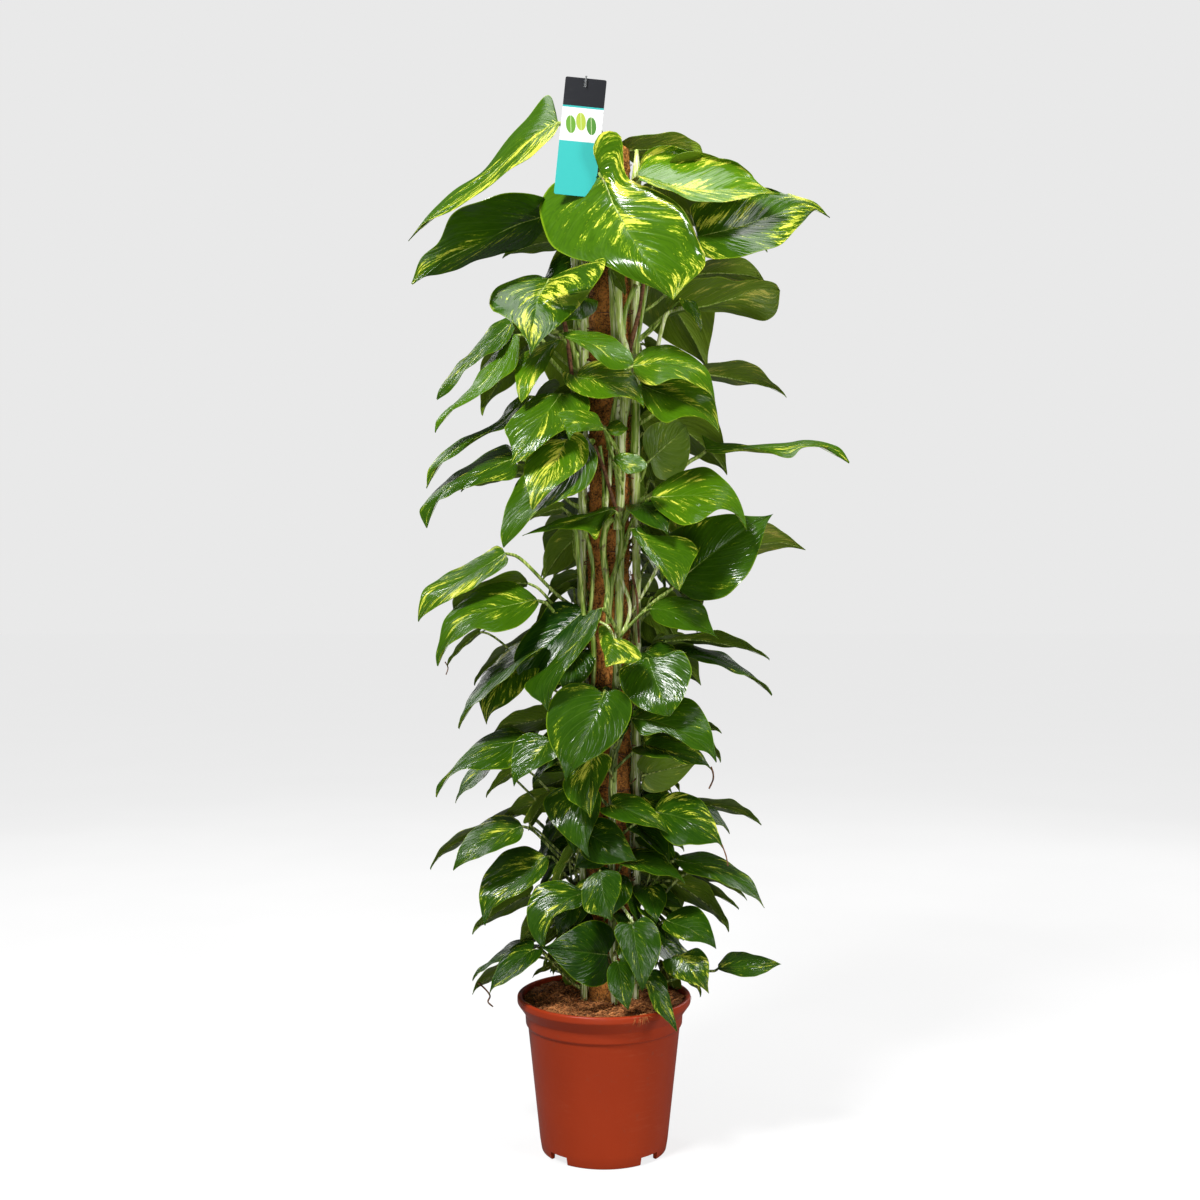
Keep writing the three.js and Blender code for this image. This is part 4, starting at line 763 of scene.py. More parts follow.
class SeenLeaf(Leaf):
    """A leaf whose edges follow their outline in the photograph, at the depth of the source's blade."""

    def __init__(self, leaf, outline, roll):
        middle, left, right = outline
        rows = []
        for i, knot in enumerate(middle):
            p = i / 4
            lie = leaf.base + leaf.along * leaf.length * p
            lie = lie + leaf.normal * leaf.length * BLADE_ARCH * p * (1 - p)
            rows.append(seen_place(knot[0], knot[1], knot[2] if len(knot) > 2 else -lie[1]))
        self.middle = np.array(rows)
        depth = -rows[2][1]
        reach = [seen_place(*knots[len(knots) // 2][1:3], depth) for knots in (left, right)]
        normal = self.facing(leaf.normal, reach[0] - reach[1])
        super().__init__(rows[0], rows[-1], normal, leaf.width, leaf.fold)
        self.calm = 0.25 + 0.6 * abs(self.normal @ unit(VIEW_POINT - rows[2]))
        self.edges = [self.edge(knots) for knots in (left, right)]
        self.roll = roll

    def facing(self, normal, reach):
        """The way the blade faces: as in the source, but not so edge on that its outline wouldn't fit."""
        along = unit(self.middle[-1] - self.middle[0])
        to_view = VIEW_POINT - self.middle[2]
        to_view = unit(to_view - along * (to_view @ along))
        hand = 1 if np.cross(along, reach) @ to_view > 0 else -1
        normal = unit(normal - along * (normal @ along))
        if hand * (normal @ to_view) < -MOST_TURNED_AWAY:
            normal = -normal
        lean = normal - to_view * (normal @ to_view)
        lean = unit(lean) if np.linalg.norm(lean) > 0.01 else lean
        share = max(LEAST_FACING, hand * (normal @ to_view))
        return unit(to_view * hand * share + lean * math.sqrt(1 - min(share, 1) ** 2))

    def midrib(self, share):
        fraction = smooth_through(share, EDGE_SHARES, EDGE_MIDRIB)
        return smooth_places(fraction, (0, 0.25, 0.5, 0.75, 1), self.middle)

    def edge(self, knots):
        """Shares and places of an edge: on the blade's slope, but no farther off than it is wide there."""
        shares, rows = [], []
        for share, column, row, *depth in knots:
            if not depth:
                near = self.midrib(share)
                ray = seen_place(column, row, 0) - VIEW_POINT
                place = VIEW_POINT + ray * ((near - VIEW_POINT) @ self.normal) / (ray @ self.normal)
                room = self.width * smooth_through(share, EDGE_SHARES, EDGE_ACROSS)
                depth = [min(max(-place[1], -near[1] - room), -near[1] + room)]
            shares.append(share)
            rows.append(seen_place(column, row, depth[0]))
        return shares + [1], np.array(rows + [self.tip])

    def surface(self, share, side):
        share, side = np.clip(np.asarray(share, float), 0.002, 0.998), np.asarray(side, float)
        away = np.abs(side)
        middle = self.midrib(share)
        left, right = (smooth_places(share, shares, rows) - middle for shares, rows in self.edges)
        along = self.midrib(share + 0.01) - self.midrib(share - 0.01)
        spare = self.across * 0.08 * self.width
        normals = [np.cross(along, left + spare), np.cross(along, spare - right)]
        normals = [normal / np.linalg.norm(normal, axis=1)[:, None] for normal in normals]
        turn = 0.5 + 0.5 * np.clip(side / 0.4, -1, 1)[:, None]
        normals = normals[0] * turn + normals[1] * (1 - turn)
        normals /= np.linalg.norm(normals, axis=1)[:, None]
        reach = np.where((side >= 0)[:, None], left, right)
        out = reach / (np.linalg.norm(reach, axis=1)[:, None] + 1e-6)
        hand, low, high, radius = self.roll or (1, 0, 0, 0)
        rolled = np.clip((share - low) / ROLL_FADE, 0, 1) * np.clip((high - share) / ROLL_FADE, 0, 1)
        rolled = rolled * (side * hand > 0)
        start = 1 - ROLL_SHARE * rolled
        inner = np.minimum(away / start, 1)[:, None]
        angle = (np.clip((away - start) / (1 - start + 1e-6), 0, 1) * ROLL_TURN * (rolled > 0))[:, None]
        tight = (radius * rolled)[:, None]
        places = middle + (reach - out * tight) * inner
        places = places + out * tight * np.sin(angle) + normals * tight * (1 - np.cos(angle))
        return places, normals * np.cos(angle) - out * np.sin(angle)


def seen_leaf(row, shift):
    base_column, base_row, tip_column, tip_row, seen_width, base_depth, tip_depth, face, fold = row
    base = seen_place(base_column, base_row, base_depth + shift)
    tip = seen_place(tip_column, tip_row, tip_depth + shift)
    length = np.linalg.norm(tip - base)
    along = unit(tip - base)
    to_view = unit(VIEW_POINT - (base + tip) / 2)
    to_view = unit(to_view - along * (to_view @ along))
    lean = np.cross(along, to_view)
    outward = lean[2] if abs(lean[2]) > LEVEL_LEAN else lean[0] * (base_column - AXIS_COLUMN)
    if outward < 0:
        lean = -lean
    shown = seen_width * VIEW_SCALE * (VIEW_DISTANCE - tip_depth) / VIEW_DISTANCE
    width = max(shown, LEAST_WIDTH * length)
    cosine = shown / width
    normal = unit(to_view * face * cosine + lean * math.sqrt(max(0.0, 1 - cosine * cosine)))
    return Leaf(base, tip, normal, width, fold)


def back_leaf(draws, shift):
    index, size, droop_share, reach, roll = draws
    share = index / (BACK_LEAVES - 1)
    length = lerp(*BACK_LENGTHS, share**1.2) * (0.86 + 0.28 * size)
    out = level_way(math.radians(180 + BACK_SPREAD * ((index * GOLDEN_SHARE) % 1 - 0.5) + 0.7 * shift))
    base = np.array((POLE_X, 0, lerp(*BACK_HEIGHTS, share))) + out * (50 + 0.2 * length + 30 * reach)
    along, normal = drooping(out, 0.35 + 0.7 * droop_share, 1.1 * (roll - 0.5))
    return Leaf(base, base + along * length, normal, 0.76 * length, 0.1)


def back_draws():
    """The source's own draws for the leaves of the back."""
    state, step, shift, whole = BACK_DRAWS
    rows = []
    for index in range(BACK_LEAVES):
        row = [index]
        for _ in range(4):
            state = (state * step + shift) % whole
            row.append(state / whole)
        rows.append(row)
    return rows


def stalk_bends(stem, leaf, route):
    """Root, the two pulls of its curve, knee and end of a stalk."""
    drop, bow = route
    reach = math.hypot(leaf.base[0] - POLE_X, leaf.base[1])
    fall = min(drop * reach, LONGEST_STALK_DROP)
    height = min(max(leaf.base[2] - fall, STALK_LOWEST), STEMS[stem][1] - STALK_BELOW_TOP)
    root = stem_place(stem, height)
    out = unit(np.array((root[0] - POLE_X, root[1], 0.0)))
    end = leaf.places([0], [0], BLADE / 2 - STALK_TAPER * leaf.radius)[0]
    knee = end - leaf.along * KNEE_BACK * leaf.length - leaf.normal * KNEE_DOWN * leaf.length
    span = knee - root
    far = np.linalg.norm(span)
    side = unit(np.array((-span[1], span[0], 0.0))) * bow * far
    first = root + out * 0.35 * far + UP * 0.2 * span[2] + side
    second = lerp(root, knee, 0.75) + side + UP * 0.1 * far
    return root, first, second, knee, end


# Where the source put each leaf
def corner_tree(name):
    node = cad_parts[name]
    tree = KDTree(len(node.data.vertices))
    for i, vertex in enumerate(node.data.vertices):
        tree.insert((np.array(vertex.co) - AXIS) / MM, i)
    tree.balance()
    return tree


def share_found(tree, leaf):
    """How many of a blade's corners are corners of a solid."""
    outline = SMALL_OUTLINE
    if leaf.length > SMALL_LEAF:
        outline = LARGE_OUTLINE if leaf.length > LARGE_LEAF else MIDDLE_OUTLINE
    p = [1] + [o[0] for o in outline] * 2
    q = [0] + [o[1] for o in outline] + [-o[1] for o in outline]
    found = 0
    for lift in (BLADE / 2, -BLADE / 2):
        found += sum(tree.find(place)[2] < CORNER_NEAR for place in leaf.places(p, q, lift))
    return found / (2 * len(p))


def find_route(tree, stem, leaf):
    """The route of a stalk whose first bend has its ring of corners in the solid."""
    for route in ROUTES:
        root, first, second, knee, _ = stalk_bends(stem, leaf, route)
        long = np.linalg.norm(knee - root) > LONG_STALK
        place = on_curve(root, first, second, knee, 0.35 if long else 0.5)
        near = tree.find_range(place, leaf.radius + CORNER_NEAR)
        if sum(distance > leaf.radius - CORNER_NEAR for _, _, distance in near) >= 3:
            return route
    return ROUTES[0]


def find_leaves():
    """Every leaf that the source kept: its stem, its lie, its stalk's route, its finish and its number."""
    trees = {name: corner_tree(name) for name in STEMS}
    outlines = leaf_outlines()
    lies = [(lambda shift, row=row: seen_leaf(row, shift), finish) for row, finish in leaf_rows()]
    for draws in back_draws():
        share = draws[0] / (BACK_LEAVES - 1)
        # Brightness rises with height: partly the lower leaves' own darker tone, partly painted shade where
        # less light reaches the bottom
        finish = (0.15 + 0.6 * draws[2] * draws[4], 0.25 + 0.35 * share, 0)
        lies.append((lambda shift, draws=draws: back_leaf(draws, shift), finish))
    kept = []
    for number, (lie, finish) in enumerate(lies):
        tries = [
            (share_found(tree, leaf), name, leaf) for leaf in map(lie, SHIFTS) for name, tree in trees.items()
        ]
        share, name, leaf = max(tries, key=lambda one: one[0])
        if share < LEAST_FOUND:
            continue
        route = find_route(trees[name], name, leaf)
        if number in outlines:
            leaf = SeenLeaf(leaf, outlines[number], ROLLED_EDGES.get(number))
        kept.append((name, leaf, route, finish, number))
    return kept


def coarse_places(leaf):
    shares = np.repeat(COARSE_SHARES, len(COARSE_SIDES))
    places = leaf.surface(shares, np.tile(COARSE_SIDES, len(COARSE_SHARES)))[0]
    return [Vector(place) for place in places]


def coarse_tree(places):
    """Blades as a few faces each, to see what would touch or hide them."""
    rows, columns = len(COARSE_SHARES), len(COARSE_SIDES)
    faces = [
        (corner + j, corner + j + 1, corner + j + columns + 1, corner + j + columns)
        for start in range(0, len(places), rows * columns)
        for corner in range(start, start + (rows - 1) * columns, columns) for j in range(columns - 1)
    ]
    return BVHTree.FromPolygons(places, faces)


def inner_leaf():
    """A smaller leaf close to the pole."""
    share = random.random() ** 1.3
    z = lerp(*INNER_HEIGHTS, share)
    angle = random.uniform(-math.pi, math.pi)
    behind = abs(angle) > BEHIND
    if abs(angle) < BARE_ANGLE and any(low < z < high for low, high in BARE_POLE):
        return None
    if abs(angle) < BEHIND and z < RIM_CLEAR:
        return None
    way = level_way(angle + random.uniform(-0.9, 0.9))
    droop = random.uniform(0.2, 1.25)
    length = lerp(*INNER_LENGTHS, share) * random.uniform(0.75, 1.2 if behind else 0.95)
    base = np.array((POLE_X, 0, z)) + level_way(angle) * random.uniform(50, 95 if behind else 68)
    along, normal = drooping(way, droop, random.uniform(-0.7, 0.7))
    width = length * random.uniform(0.66, 0.78)
    return Leaf(base, base + along * length, normal, width, random.uniform(0, 0.25))


def nearest_stem(place):
    def distance(name):
        return np.linalg.norm(place - stem_place(name, min(place[2], STEMS[name][1])))

    return min(STEMS, key=distance)


def add_inner_leaves(kept):
    """The small leaves, put where they touch no other blade and hide no leaf that is seen from the front."""
    corners = [coarse_places(leaf) for _, leaf, _, _, _ in kept]
    blades = [coarse_tree(places) for places in corners]
    front = len(leaf_rows())
    seen = [places for places, one in zip(corners, kept) if one[4] < front]
    seen = coarse_tree([place for places in seen for place in places])
    view = Vector(VIEW_POINT)
    number = FIRST_INNER
    for _ in range(INNER_TRIES):
        if number == FIRST_INNER + INNER_LEAVES:
            break
        leaf = inner_leaf()
        if leaf is None:
            continue
        places = coarse_places(leaf)
        widest = lerp(*INNER_REACH, leaf.base[2] / POLE_TOP)
        if any(abs(place.x - POLE_X) > widest or seen.ray_cast(place, place - view)[0] for place in places):
            continue
        hidden = sum(seen.ray_cast(place, view - place)[0] is not None for place in places)
        if leaf.base[2] > OPEN_ABOVE and hidden < LEAST_HIDDEN * len(places):
            continue
        blade = coarse_tree(places)
        if any(blade.overlap(other) for other in blades):
            continue
        blades.append(blade)
        finish = (random.uniform(0.0, 0.45), random.uniform(0.05, 0.4), 0)
        kept.append((nearest_stem(leaf.base), leaf, ROUTES[random.choice((0, 1, 2))], finish, number))
        number += 1


# Modelling
def deselect_all():
    bpy.ops.object.select_all(action="DESELECT")


def primitive(add_it, **settings):
    """What one of Blender's own primitives adds, the one thing that is selected."""
    deselect_all()
    add_it(**settings)
    return bpy.context.active_object


def take(obj):
    deselect_all()
    obj.select_set(True)
    bpy.context.view_layer.objects.active = obj


def finish_with(obj, kind, **settings):
    """Adds a modifier to a piece and applies it."""
    modifier = obj.modifiers.new(kind.lower(), kind)
    for key, value in settings.items():
        setattr(modifier, key, value)
    take(obj)
    bpy.ops.object.modifier_apply(modifier=modifier.name)


def outline_object(name, places, edges=(), faces=()):
    mesh = bpy.data.meshes.new(name)
    mesh.from_pydata([tuple(place) for place in places], list(edges), list(faces))
    obj = bpy.data.objects.new(name, mesh)
    bpy.context.collection.objects.link(obj)
    return obj


def turned(name, profile, sides, x=0):
    """A closed turned piece: its profile of radius and height is spun about an upright axis."""
    places = [in_frame((x + radius, 0, height)) for radius, height in profile]
    obj = outline_object(name, places, [(i, i + 1) for i in range(len(places) - 1)])
    take(obj)
    bpy.ops.object.mode_set(mode="EDIT")
    bpy.ops.mesh.select_all(action="SELECT")
    bpy.ops.mesh.spin(steps=sides, angle=TURN, center=in_frame((x, 0, 0)), axis=(0, 0, 1))
    bpy.ops.mesh.select_all(action="SELECT")
    bpy.ops.mesh.remove_doubles(threshold=0.00002)
    bpy.ops.mesh.normals_make_consistent(inside=False)
    bpy.ops.object.mode_set(mode="OBJECT")
    return obj


def rounded(profile, radius, steps):
    """A line whose inner corners are rounded."""
    points = [np.array(point, float) for point in profile]
    smooth = [points[0]]
    for before, here, after in zip(points, points[1:], points[2:]):
        room = min(radius, 0.45 * np.linalg.norm(before - here), 0.45 * np.linalg.norm(after - here))
        start, end = here + unit(before - here) * room, here + unit(after - here) * room
        smooth += [bend(start, here, end, i / steps) for i in range(steps + 1)]
    return smooth + [points[-1]]


def cut_with(obj, cutter):
    finish_with(obj, "BOOLEAN", operation="DIFFERENCE", solver="EXACT", object=cutter)
    bpy.data.objects.remove(cutter)


def shade_smooth(obj, degrees):
    take(obj)
    bpy.ops.object.shade_smooth_by_angle(angle=math.radians(degrees))


def coat_with(obj, *materials):
    obj.data.materials.clear()
    for material in materials:
        obj.data.materials.append(material)


def corners_of(mesh):
    flat = np.empty(3 * len(mesh.vertices))
    mesh.vertices.foreach_get("co", flat)
    return flat.reshape(-1, 3)


def new_map(mesh, name):
    """The one map of a mesh, new and unset."""
    for layer in list(mesh.uv_layers):
        mesh.uv_layers.remove(layer)
    return mesh.uv_layers.new(name=name).data


def write_on(mesh, name, values):
    """Writes a value on each corner of a mesh, where its finish reads it."""
    mesh.attributes.new(name, "FLOAT", "POINT").data.foreach_set("value", values.astype(np.float32))


def join_all(objects, name):
    deselect_all()
    for obj in objects:
        obj.select_set(True)
    bpy.context.view_layer.objects.active = objects[0]
    bpy.ops.object.join()
    objects[0].name = name
    objects[0].data.name = name
    return objects[0]


def place_on_frame(obj, node):
    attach(obj, "root")
    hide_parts(node)


def tube_places(points, radii, sides):
    """Rings of places about a path, each turned as little as can be from the one before."""
    points = np.asarray(points, float)
    steps = np.diff(points, axis=0)
    steps /= np.linalg.norm(steps, axis=1)[:, None]
    forwards = np.vstack((steps[:1], steps[:-1] + steps[1:], steps[-1:]))
    side = np.array((forwards[0][1], forwards[0][2], forwards[0][0]))
    rings = []
    for point, forward, radius in zip(points, forwards, radii):
        forward = unit(forward)
        side = unit(side - forward * (side @ forward))
        other = np.cross(forward, side)
        turns = np.arange(sides) * TURN / sides
        rings.append(point + radius * (np.outer(np.cos(turns), side) + np.outer(np.sin(turns), other)))
    return np.vstack(rings)


def tube_faces(rings, sides, start):
    faces = []
    for i in range(rings - 1):
        for j in range(sides):
            a, b = start + i * sides + j, start + i * sides + (j + 1) % sides
            faces.append((a, b, b + sides, a + sides))
    last = start + (rings - 1) * sides
    faces.append(tuple(start + j for j in reversed(range(sides))))
    faces.append(tuple(last + j for j in range(sides)))
    return faces


def tubes_object(name, paths, sides, finish):
    """One object of many closed tubes, each a list of points in millimetres and a list of radii."""
    places, faces = [], []
    count = 0
    for points, radii in paths:
        rings = tube_places(points, radii, sides)
        faces += tube_faces(len(points), sides, count)
        places.append(rings)
        count += len(rings)
    obj = outline_object(name, in_frame(np.vstack(places)), faces=faces)
    shade_smooth(obj, 60)
    coat_with(obj, finish)
    return obj


# Finishes
def put(tree, spot, value):
    if isinstance(value, bpy.types.NodeSocket):
        tree.links.new(value, spot)
    else:
        spot.default_value = value


def add(tree, kind, inputs=None, **settings):
    node = tree.nodes.new(kind)
    for key, value in settings.items():
        setattr(node, key, value)
    for key, value in (inputs or {}).items():
        put(tree, node.inputs[key], value)
    return node


def calc(tree, operation, *values):
    node = tree.nodes.new("ShaderNodeMath")
    node.operation = operation
    for i, value in enumerate(values):
        put(tree, node.inputs[i], value)
    return node.outputs[0]


def rise(tree, value, low, high, to_low=0.0, to_high=1.0):
    """A soft rise of a value between two limits."""
    inputs = {"Value": value, "From Min": low, "From Max": high, "To Min": to_low, "To Max": to_high}
    return add(tree, "ShaderNodeMapRange", inputs, interpolation_type="SMOOTHSTEP").outputs["Result"]


def mixed(tree, share, a, b):
    node = add(tree, "ShaderNodeMix", data_type="RGBA")
    for index, value in ((0, share), (6, a), (7, b)):
        put(tree, node.inputs[index], value)
    return node.outputs[2]


def noise(tree, place, scale, detail=2.0, roughness=0.5):
    inputs = {"Vector": place, "Scale": scale, "Detail": detail, "Roughness": roughness}
    return add(tree, "ShaderNodeTexNoise", inputs).outputs["Fac"]


def stretched(tree, place, x, y, z):
    return add(tree, "ShaderNodeMapping", {"Vector": place, "Scale": (x, y, z)}).outputs["Vector"]


def along_object(tree):
    return add(tree, "ShaderNodeTexCoord").outputs["Object"]


def reading(tree, name):
    return add(tree, "ShaderNodeAttribute", attribute_name=name).outputs["Fac"]


def dress(tree, shader, colour, rough, height, distance):
    """Leads a colour, a soft rise of roughness, and a relief of this distance to a finish's shader."""
    put(tree, shader["Base Color"], colour)
    put(tree, shader["Roughness"], rise(tree, *rough))
    relief = add(tree, "ShaderNodeBump", {"Height": height, "Distance": distance})
    put(tree, shader["Normal"], relief.outputs["Normal"])


def new_group(name, inputs, outputs):
    group = bpy.data.node_groups.new(name, "ShaderNodeTree")
    for label, kind, value in inputs:
        made = group.interface.new_socket(label, in_out="INPUT", socket_type="NodeSocket" + kind)
        if value is not None:
            made.default_value = value
    for label, kind in outputs:
        group.interface.new_socket(label, in_out="OUTPUT", socket_type="NodeSocket" + kind)
    return group, group.nodes.new("NodeGroupInput").outputs, group.nodes.new("NodeGroupOutput").inputs


def place_group(tree, group, inputs):
    node = tree.nodes.new("ShaderNodeGroup")
    node.node_tree = group
    for key, value in inputs.items():
        put(tree, node.inputs[key], value)
    return node.outputs


def new_finish(name, **constants):
    material = bpy.data.materials.new(name)
    material.use_nodes = True
    shader = material.node_tree.nodes["Principled BSDF"]
    for key, value in constants.items():
        shader.inputs[key.replace("_", " ")].default_value = value
    return material, material.node_tree, shader.inputs


def leaf_pattern_group():
    """Veins and yellow streaks of a pothos leaf, drawn in its own vein map."""
    inputs = (
        ("Vein map", "Vector", None), ("Streaks", "Float", 0.3),
        ("Seed", "Float", 0.0), ("Side", "Float", 0.0),
    )
    labels = ("Yellow", "Pale", "Veins", "Relief", "Mottle", "Margin", "Grain")
    group, start, end = new_group("leaf_pattern", inputs, [(label, "Float") for label in labels])
    parts = add(group, "ShaderNodeSeparateXYZ", {"Vector": start["Vein map"]}).outputs
    along = parts["X"]
    across = calc(group, "MULTIPLY_ADD", parts["Y"], 2.0, -1.0)
    away = calc(group, "ABSOLUTE", across)
    seed = calc(group, "MULTIPLY", start["Seed"], 57.0)
    swept = calc(group, "MULTIPLY_ADD", calc(group, "POWER", away, VEIN_BOW), -VEIN_SWEEP, along)

    def field(near, far, shift, detail, roughness):
        inputs = {
            "X": calc(group, "MULTIPLY", swept, near),
            "Y": calc(group, "MULTIPLY", across, far),
            "Z": calc(group, "ADD", seed, shift),
        }
        place = add(group, "ShaderNodeCombineXYZ", inputs).outputs["Vector"]
        return noise(group, place, 1.0, detail, roughness)

    streak = field(24.0, 3.0, 0.0, 2.0, 0.5)
    line = field(80.0, 6.5, 17.0, 2.0, 0.6)
    patch = field(3.4, 2.0, 11.0, 1.0, 0.5)
    speck = field(170.0, 26.0, 23.0, 2.0, 0.6)
    fuller = calc(group, "MULTIPLY", start["Side"], across)
    raw = 0.0
    for value, weight in ((streak, 0.28), (patch, 0.32), (line, 0.21), (speck, 0.19), (fuller, 0.06)):
        raw = calc(group, "MULTIPLY_ADD", value, weight, raw)
    edge = add(group, "ShaderNodeMapRange", {
        "Value": start["Streaks"], "From Min": 0.0, "From Max": 1.0, "To Min": 0.625, "To Max": 0.52,
    }).outputs["Result"]
    group.links.new(rise(group, raw, edge, calc(group, "ADD", edge, 0.016)), end["Yellow"])
    low = calc(group, "SUBTRACT", edge, 0.045)
    group.links.new(rise(group, raw, low, calc(group, "ADD", edge, 0.005)), end["Pale"])

    def vein_lines(count, width):
        phase = calc(group, "FRACT", calc(group, "MULTIPLY", swept, count))
        off = calc(group, "SUBTRACT", 0.5, calc(group, "ABSOLUTE", calc(group, "SUBTRACT", phase, 0.5)))
        return rise(group, off, 0.0, width, 1.0, 0.0)

    midrib = rise(group, away, 0.008, 0.04, 1.0, 0.0)
    laterals = calc(group, "MULTIPLY", vein_lines(10.0, 0.09), calc(group, "SUBTRACT", 1.0, away))
    fine = vein_lines(40.0, 0.3)
    mottle = field(6.0, 3.0, 5.0, 3.0, 0.6)
    group.links.new(calc(group, "MAXIMUM", midrib, laterals), end["Veins"])
    ripple = field(22.0, 2.2, 31.0, 2.0, 0.5)
    relief = calc(group, "MULTIPLY_ADD", laterals, -0.25, calc(group, "MULTIPLY", midrib, -0.3))
    relief = calc(group, "MULTIPLY_ADD", fine, -0.05, relief)
    relief = calc(group, "MULTIPLY_ADD", ripple, 2.2, relief)
    group.links.new(calc(group, "MULTIPLY_ADD", mottle, 0.4, relief), end["Relief"])
    group.links.new(mottle, end["Mottle"])
    group.links.new(line, end["Grain"])
    # The pale rim at the blade's edge: partly its own paler margin, partly painted light catching the edge
    group.links.new(rise(group, away, 0.965, 0.99), end["Margin"])
    return group


def leaf_finish(name, group, shades, roughness, distance):
    """The finish of one side of a leaf: dark and bright green, pale, yellow and vein shades."""
    dark, bright, pale, yellow, vein = shades
    material, tree, shader = new_finish(name, Specular_IOR_Level=0.24)
    marks = place_group(tree, group, {
        "Vein map": add(tree, "ShaderNodeUVMap", uv_map="veins").outputs["UV"],
        "Streaks": reading(tree, "streaks"), "Seed": reading(tree, "seed"), "Side": reading(tree, "side"),
    })
    # Painted shade: the tone read here also carries shade painted on lower and shaded leaves, and picks
    # between dark and bright green
    green = mixed(tree, reading(tree, "tone_and_painted_shade"), dark, bright)
    green = mixed(tree, rise(tree, marks["Mottle"], 0.35, 0.75, 0.0, 0.16), green, bright)
    green = mixed(tree, rise(tree, marks["Grain"], 0.35, 0.7, 0.0, 0.3), green, dark)
    green = mixed(tree, calc(tree, "MULTIPLY", marks["Veins"], 0.22), green, vein)
    green = mixed(tree, calc(tree, "MULTIPLY", marks["Pale"], 0.7), green, pale)
    # Partly painted highlight: the thin pale rim stands partly for the margin's own paler colour and partly
    # for light catching the edge
    green = mixed(tree, calc(tree, "MULTIPLY", marks["Margin"], 0.55), green, pale)
    colour = mixed(tree, marks["Yellow"], green, yellow)
    rough = (marks["Mottle"], 0.2, 0.8, roughness - 0.05, roughness + 0.08)
    dress(tree, shader, colour, rough, marks["Relief"], distance)
    return material


def stalk_finish(name, low, high, stripe):
    """Green skin, darker down the plant partly in its own colour and partly as painted shade, with lengthwise
    stripes and brown scars.
    """
    material, tree, shader = new_finish(name, Specular_IOR_Level=0.35)
    place = along_object(tree)
    height = add(tree, "ShaderNodeSeparateXYZ", {"Vector": place}).outputs["Z"]
    grain = noise(tree, stretched(tree, place, 60, 60, 3), 6.0, 3.0, 0.6)
    # Darker lower down: partly the stalk's own darker colour, partly painted shade
    green = mixed(tree, rise(tree, height, 0.35, 1.0), low, high)
    green = mixed(tree, rise(tree, grain, 0.47, 0.6, 0.0, 0.85), green, stripe)
    green = mixed(tree, rise(tree, grain, 0.36, 0.45, 0.7, 0.0), green, low)
    scar = noise(tree, place, 55.0, 3.0, 0.6)
    green = mixed(tree, rise(tree, scar, 0.6, 0.68, 0.0, 0.8), green, (0.1, 0.055, 0.02, 1))
    dress(tree, shader, green, (grain, 0.3, 0.7, 0.3, 0.48), grain, 0.0006)
    return material


def fibre_group():
    """Tangled brown fibre: a shade between 0 and 1, and a height."""
    group, start, end = new_group(
        "tangled_fibre", (("Scale", "Float", 100.0),), (("Shade", "Float"), ("Height", "Float"))
    )
    place = along_object(group)
    scaled = add(group, "ShaderNodeVectorMath", {0: place}, operation="SCALE")
    put(group, scaled.inputs["Scale"], start["Scale"])
    one = noise(group, stretched(group, scaled.outputs[0], 1.0, 1.0, 5.0), 1.0, 5.0, 0.65)
    two = noise(group, stretched(group, scaled.outputs[0], 4.0, 4.0, 1.0), 1.0, 5.0, 0.65)
    lump = noise(group, scaled.outputs[0], 0.35, 3.0, 0.5)
    grit = noise(group, scaled.outputs[0], 1.5, 2.0, 0.6)
    strand = calc(group, "MAXIMUM", one, two)
    shade = calc(group, "MULTIPLY_ADD", lump, 0.3, calc(group, "MULTIPLY", strand, 0.35))
    group.links.new(calc(group, "MULTIPLY_ADD", grit, 0.45, shade), end["Shade"])
    group.links.new(calc(group, "MULTIPLY_ADD", lump, 0.5, strand), end["Height"])
    return group


def fibre_finish(name, group, scale, dark, light, distance):
    material, tree, shader = new_finish(name, Specular_IOR_Level=0.25)
    fibre = place_group(tree, group, {"Scale": scale})
    colour = mixed(tree, rise(tree, fibre["Shade"], 0.43, 0.66), dark, light)
    dress(tree, shader, colour, (fibre["Shade"], 0.3, 0.7, 0.95, 0.8), fibre["Height"], distance)
    return material


def scuff_group():
    """Fine grain and faint rubbed places of moulded or printed plastic."""
    group, start, end = new_group(
        "scuffed_plastic", (("Grain", "Float", 900.0),), (("Rubbed", "Float"), ("Height", "Float"))
    )
    place = along_object(group)
    grain = noise(group, place, start["Grain"], 2.0, 0.5)
    cloud = noise(group, place, 9.0, 4.0, 0.6)
    scratch = noise(group, stretched(group, place, 30.0, 30.0, 260.0), 1.0, 3.0, 0.7)
    rubbed = calc(group, "MULTIPLY", rise(group, cloud, 0.45, 0.75), rise(group, scratch, 0.5, 0.72))
    group.links.new(rubbed, end["Rubbed"])
    group.links.new(calc(group, "MULTIPLY_ADD", rubbed, 0.6, grain), end["Height"])
    return group


def pot_finish(group):
    material, tree, shader = new_finish("terracotta_plastic", Specular_IOR_Level=0.22)
    marks = place_group(tree, group, {"Grain": 700.0})
    place = along_object(tree)
    cloud = noise(tree, place, 5.0, 3.0, 0.5)
    clay = mixed(tree, rise(tree, cloud, 0.3, 0.7), (0.36, 0.037, 0.008, 1), (0.41, 0.044, 0.0095, 1))
    clay = mixed(tree, calc(tree, "MULTIPLY", marks["Rubbed"], 0.35), clay, (0.5, 0.11, 0.05, 1))
    dust = rise(tree, noise(tree, place, 60.0, 4.0, 0.7), 0.62, 0.72, 0.0, 0.35)
    clay = mixed(tree, dust, clay, (0.24, 0.07, 0.04, 1))
    dress(tree, shader, clay, (marks["Rubbed"], 0.0, 1.0, 0.36, 0.52), marks["Height"], 0.00012)
    return material


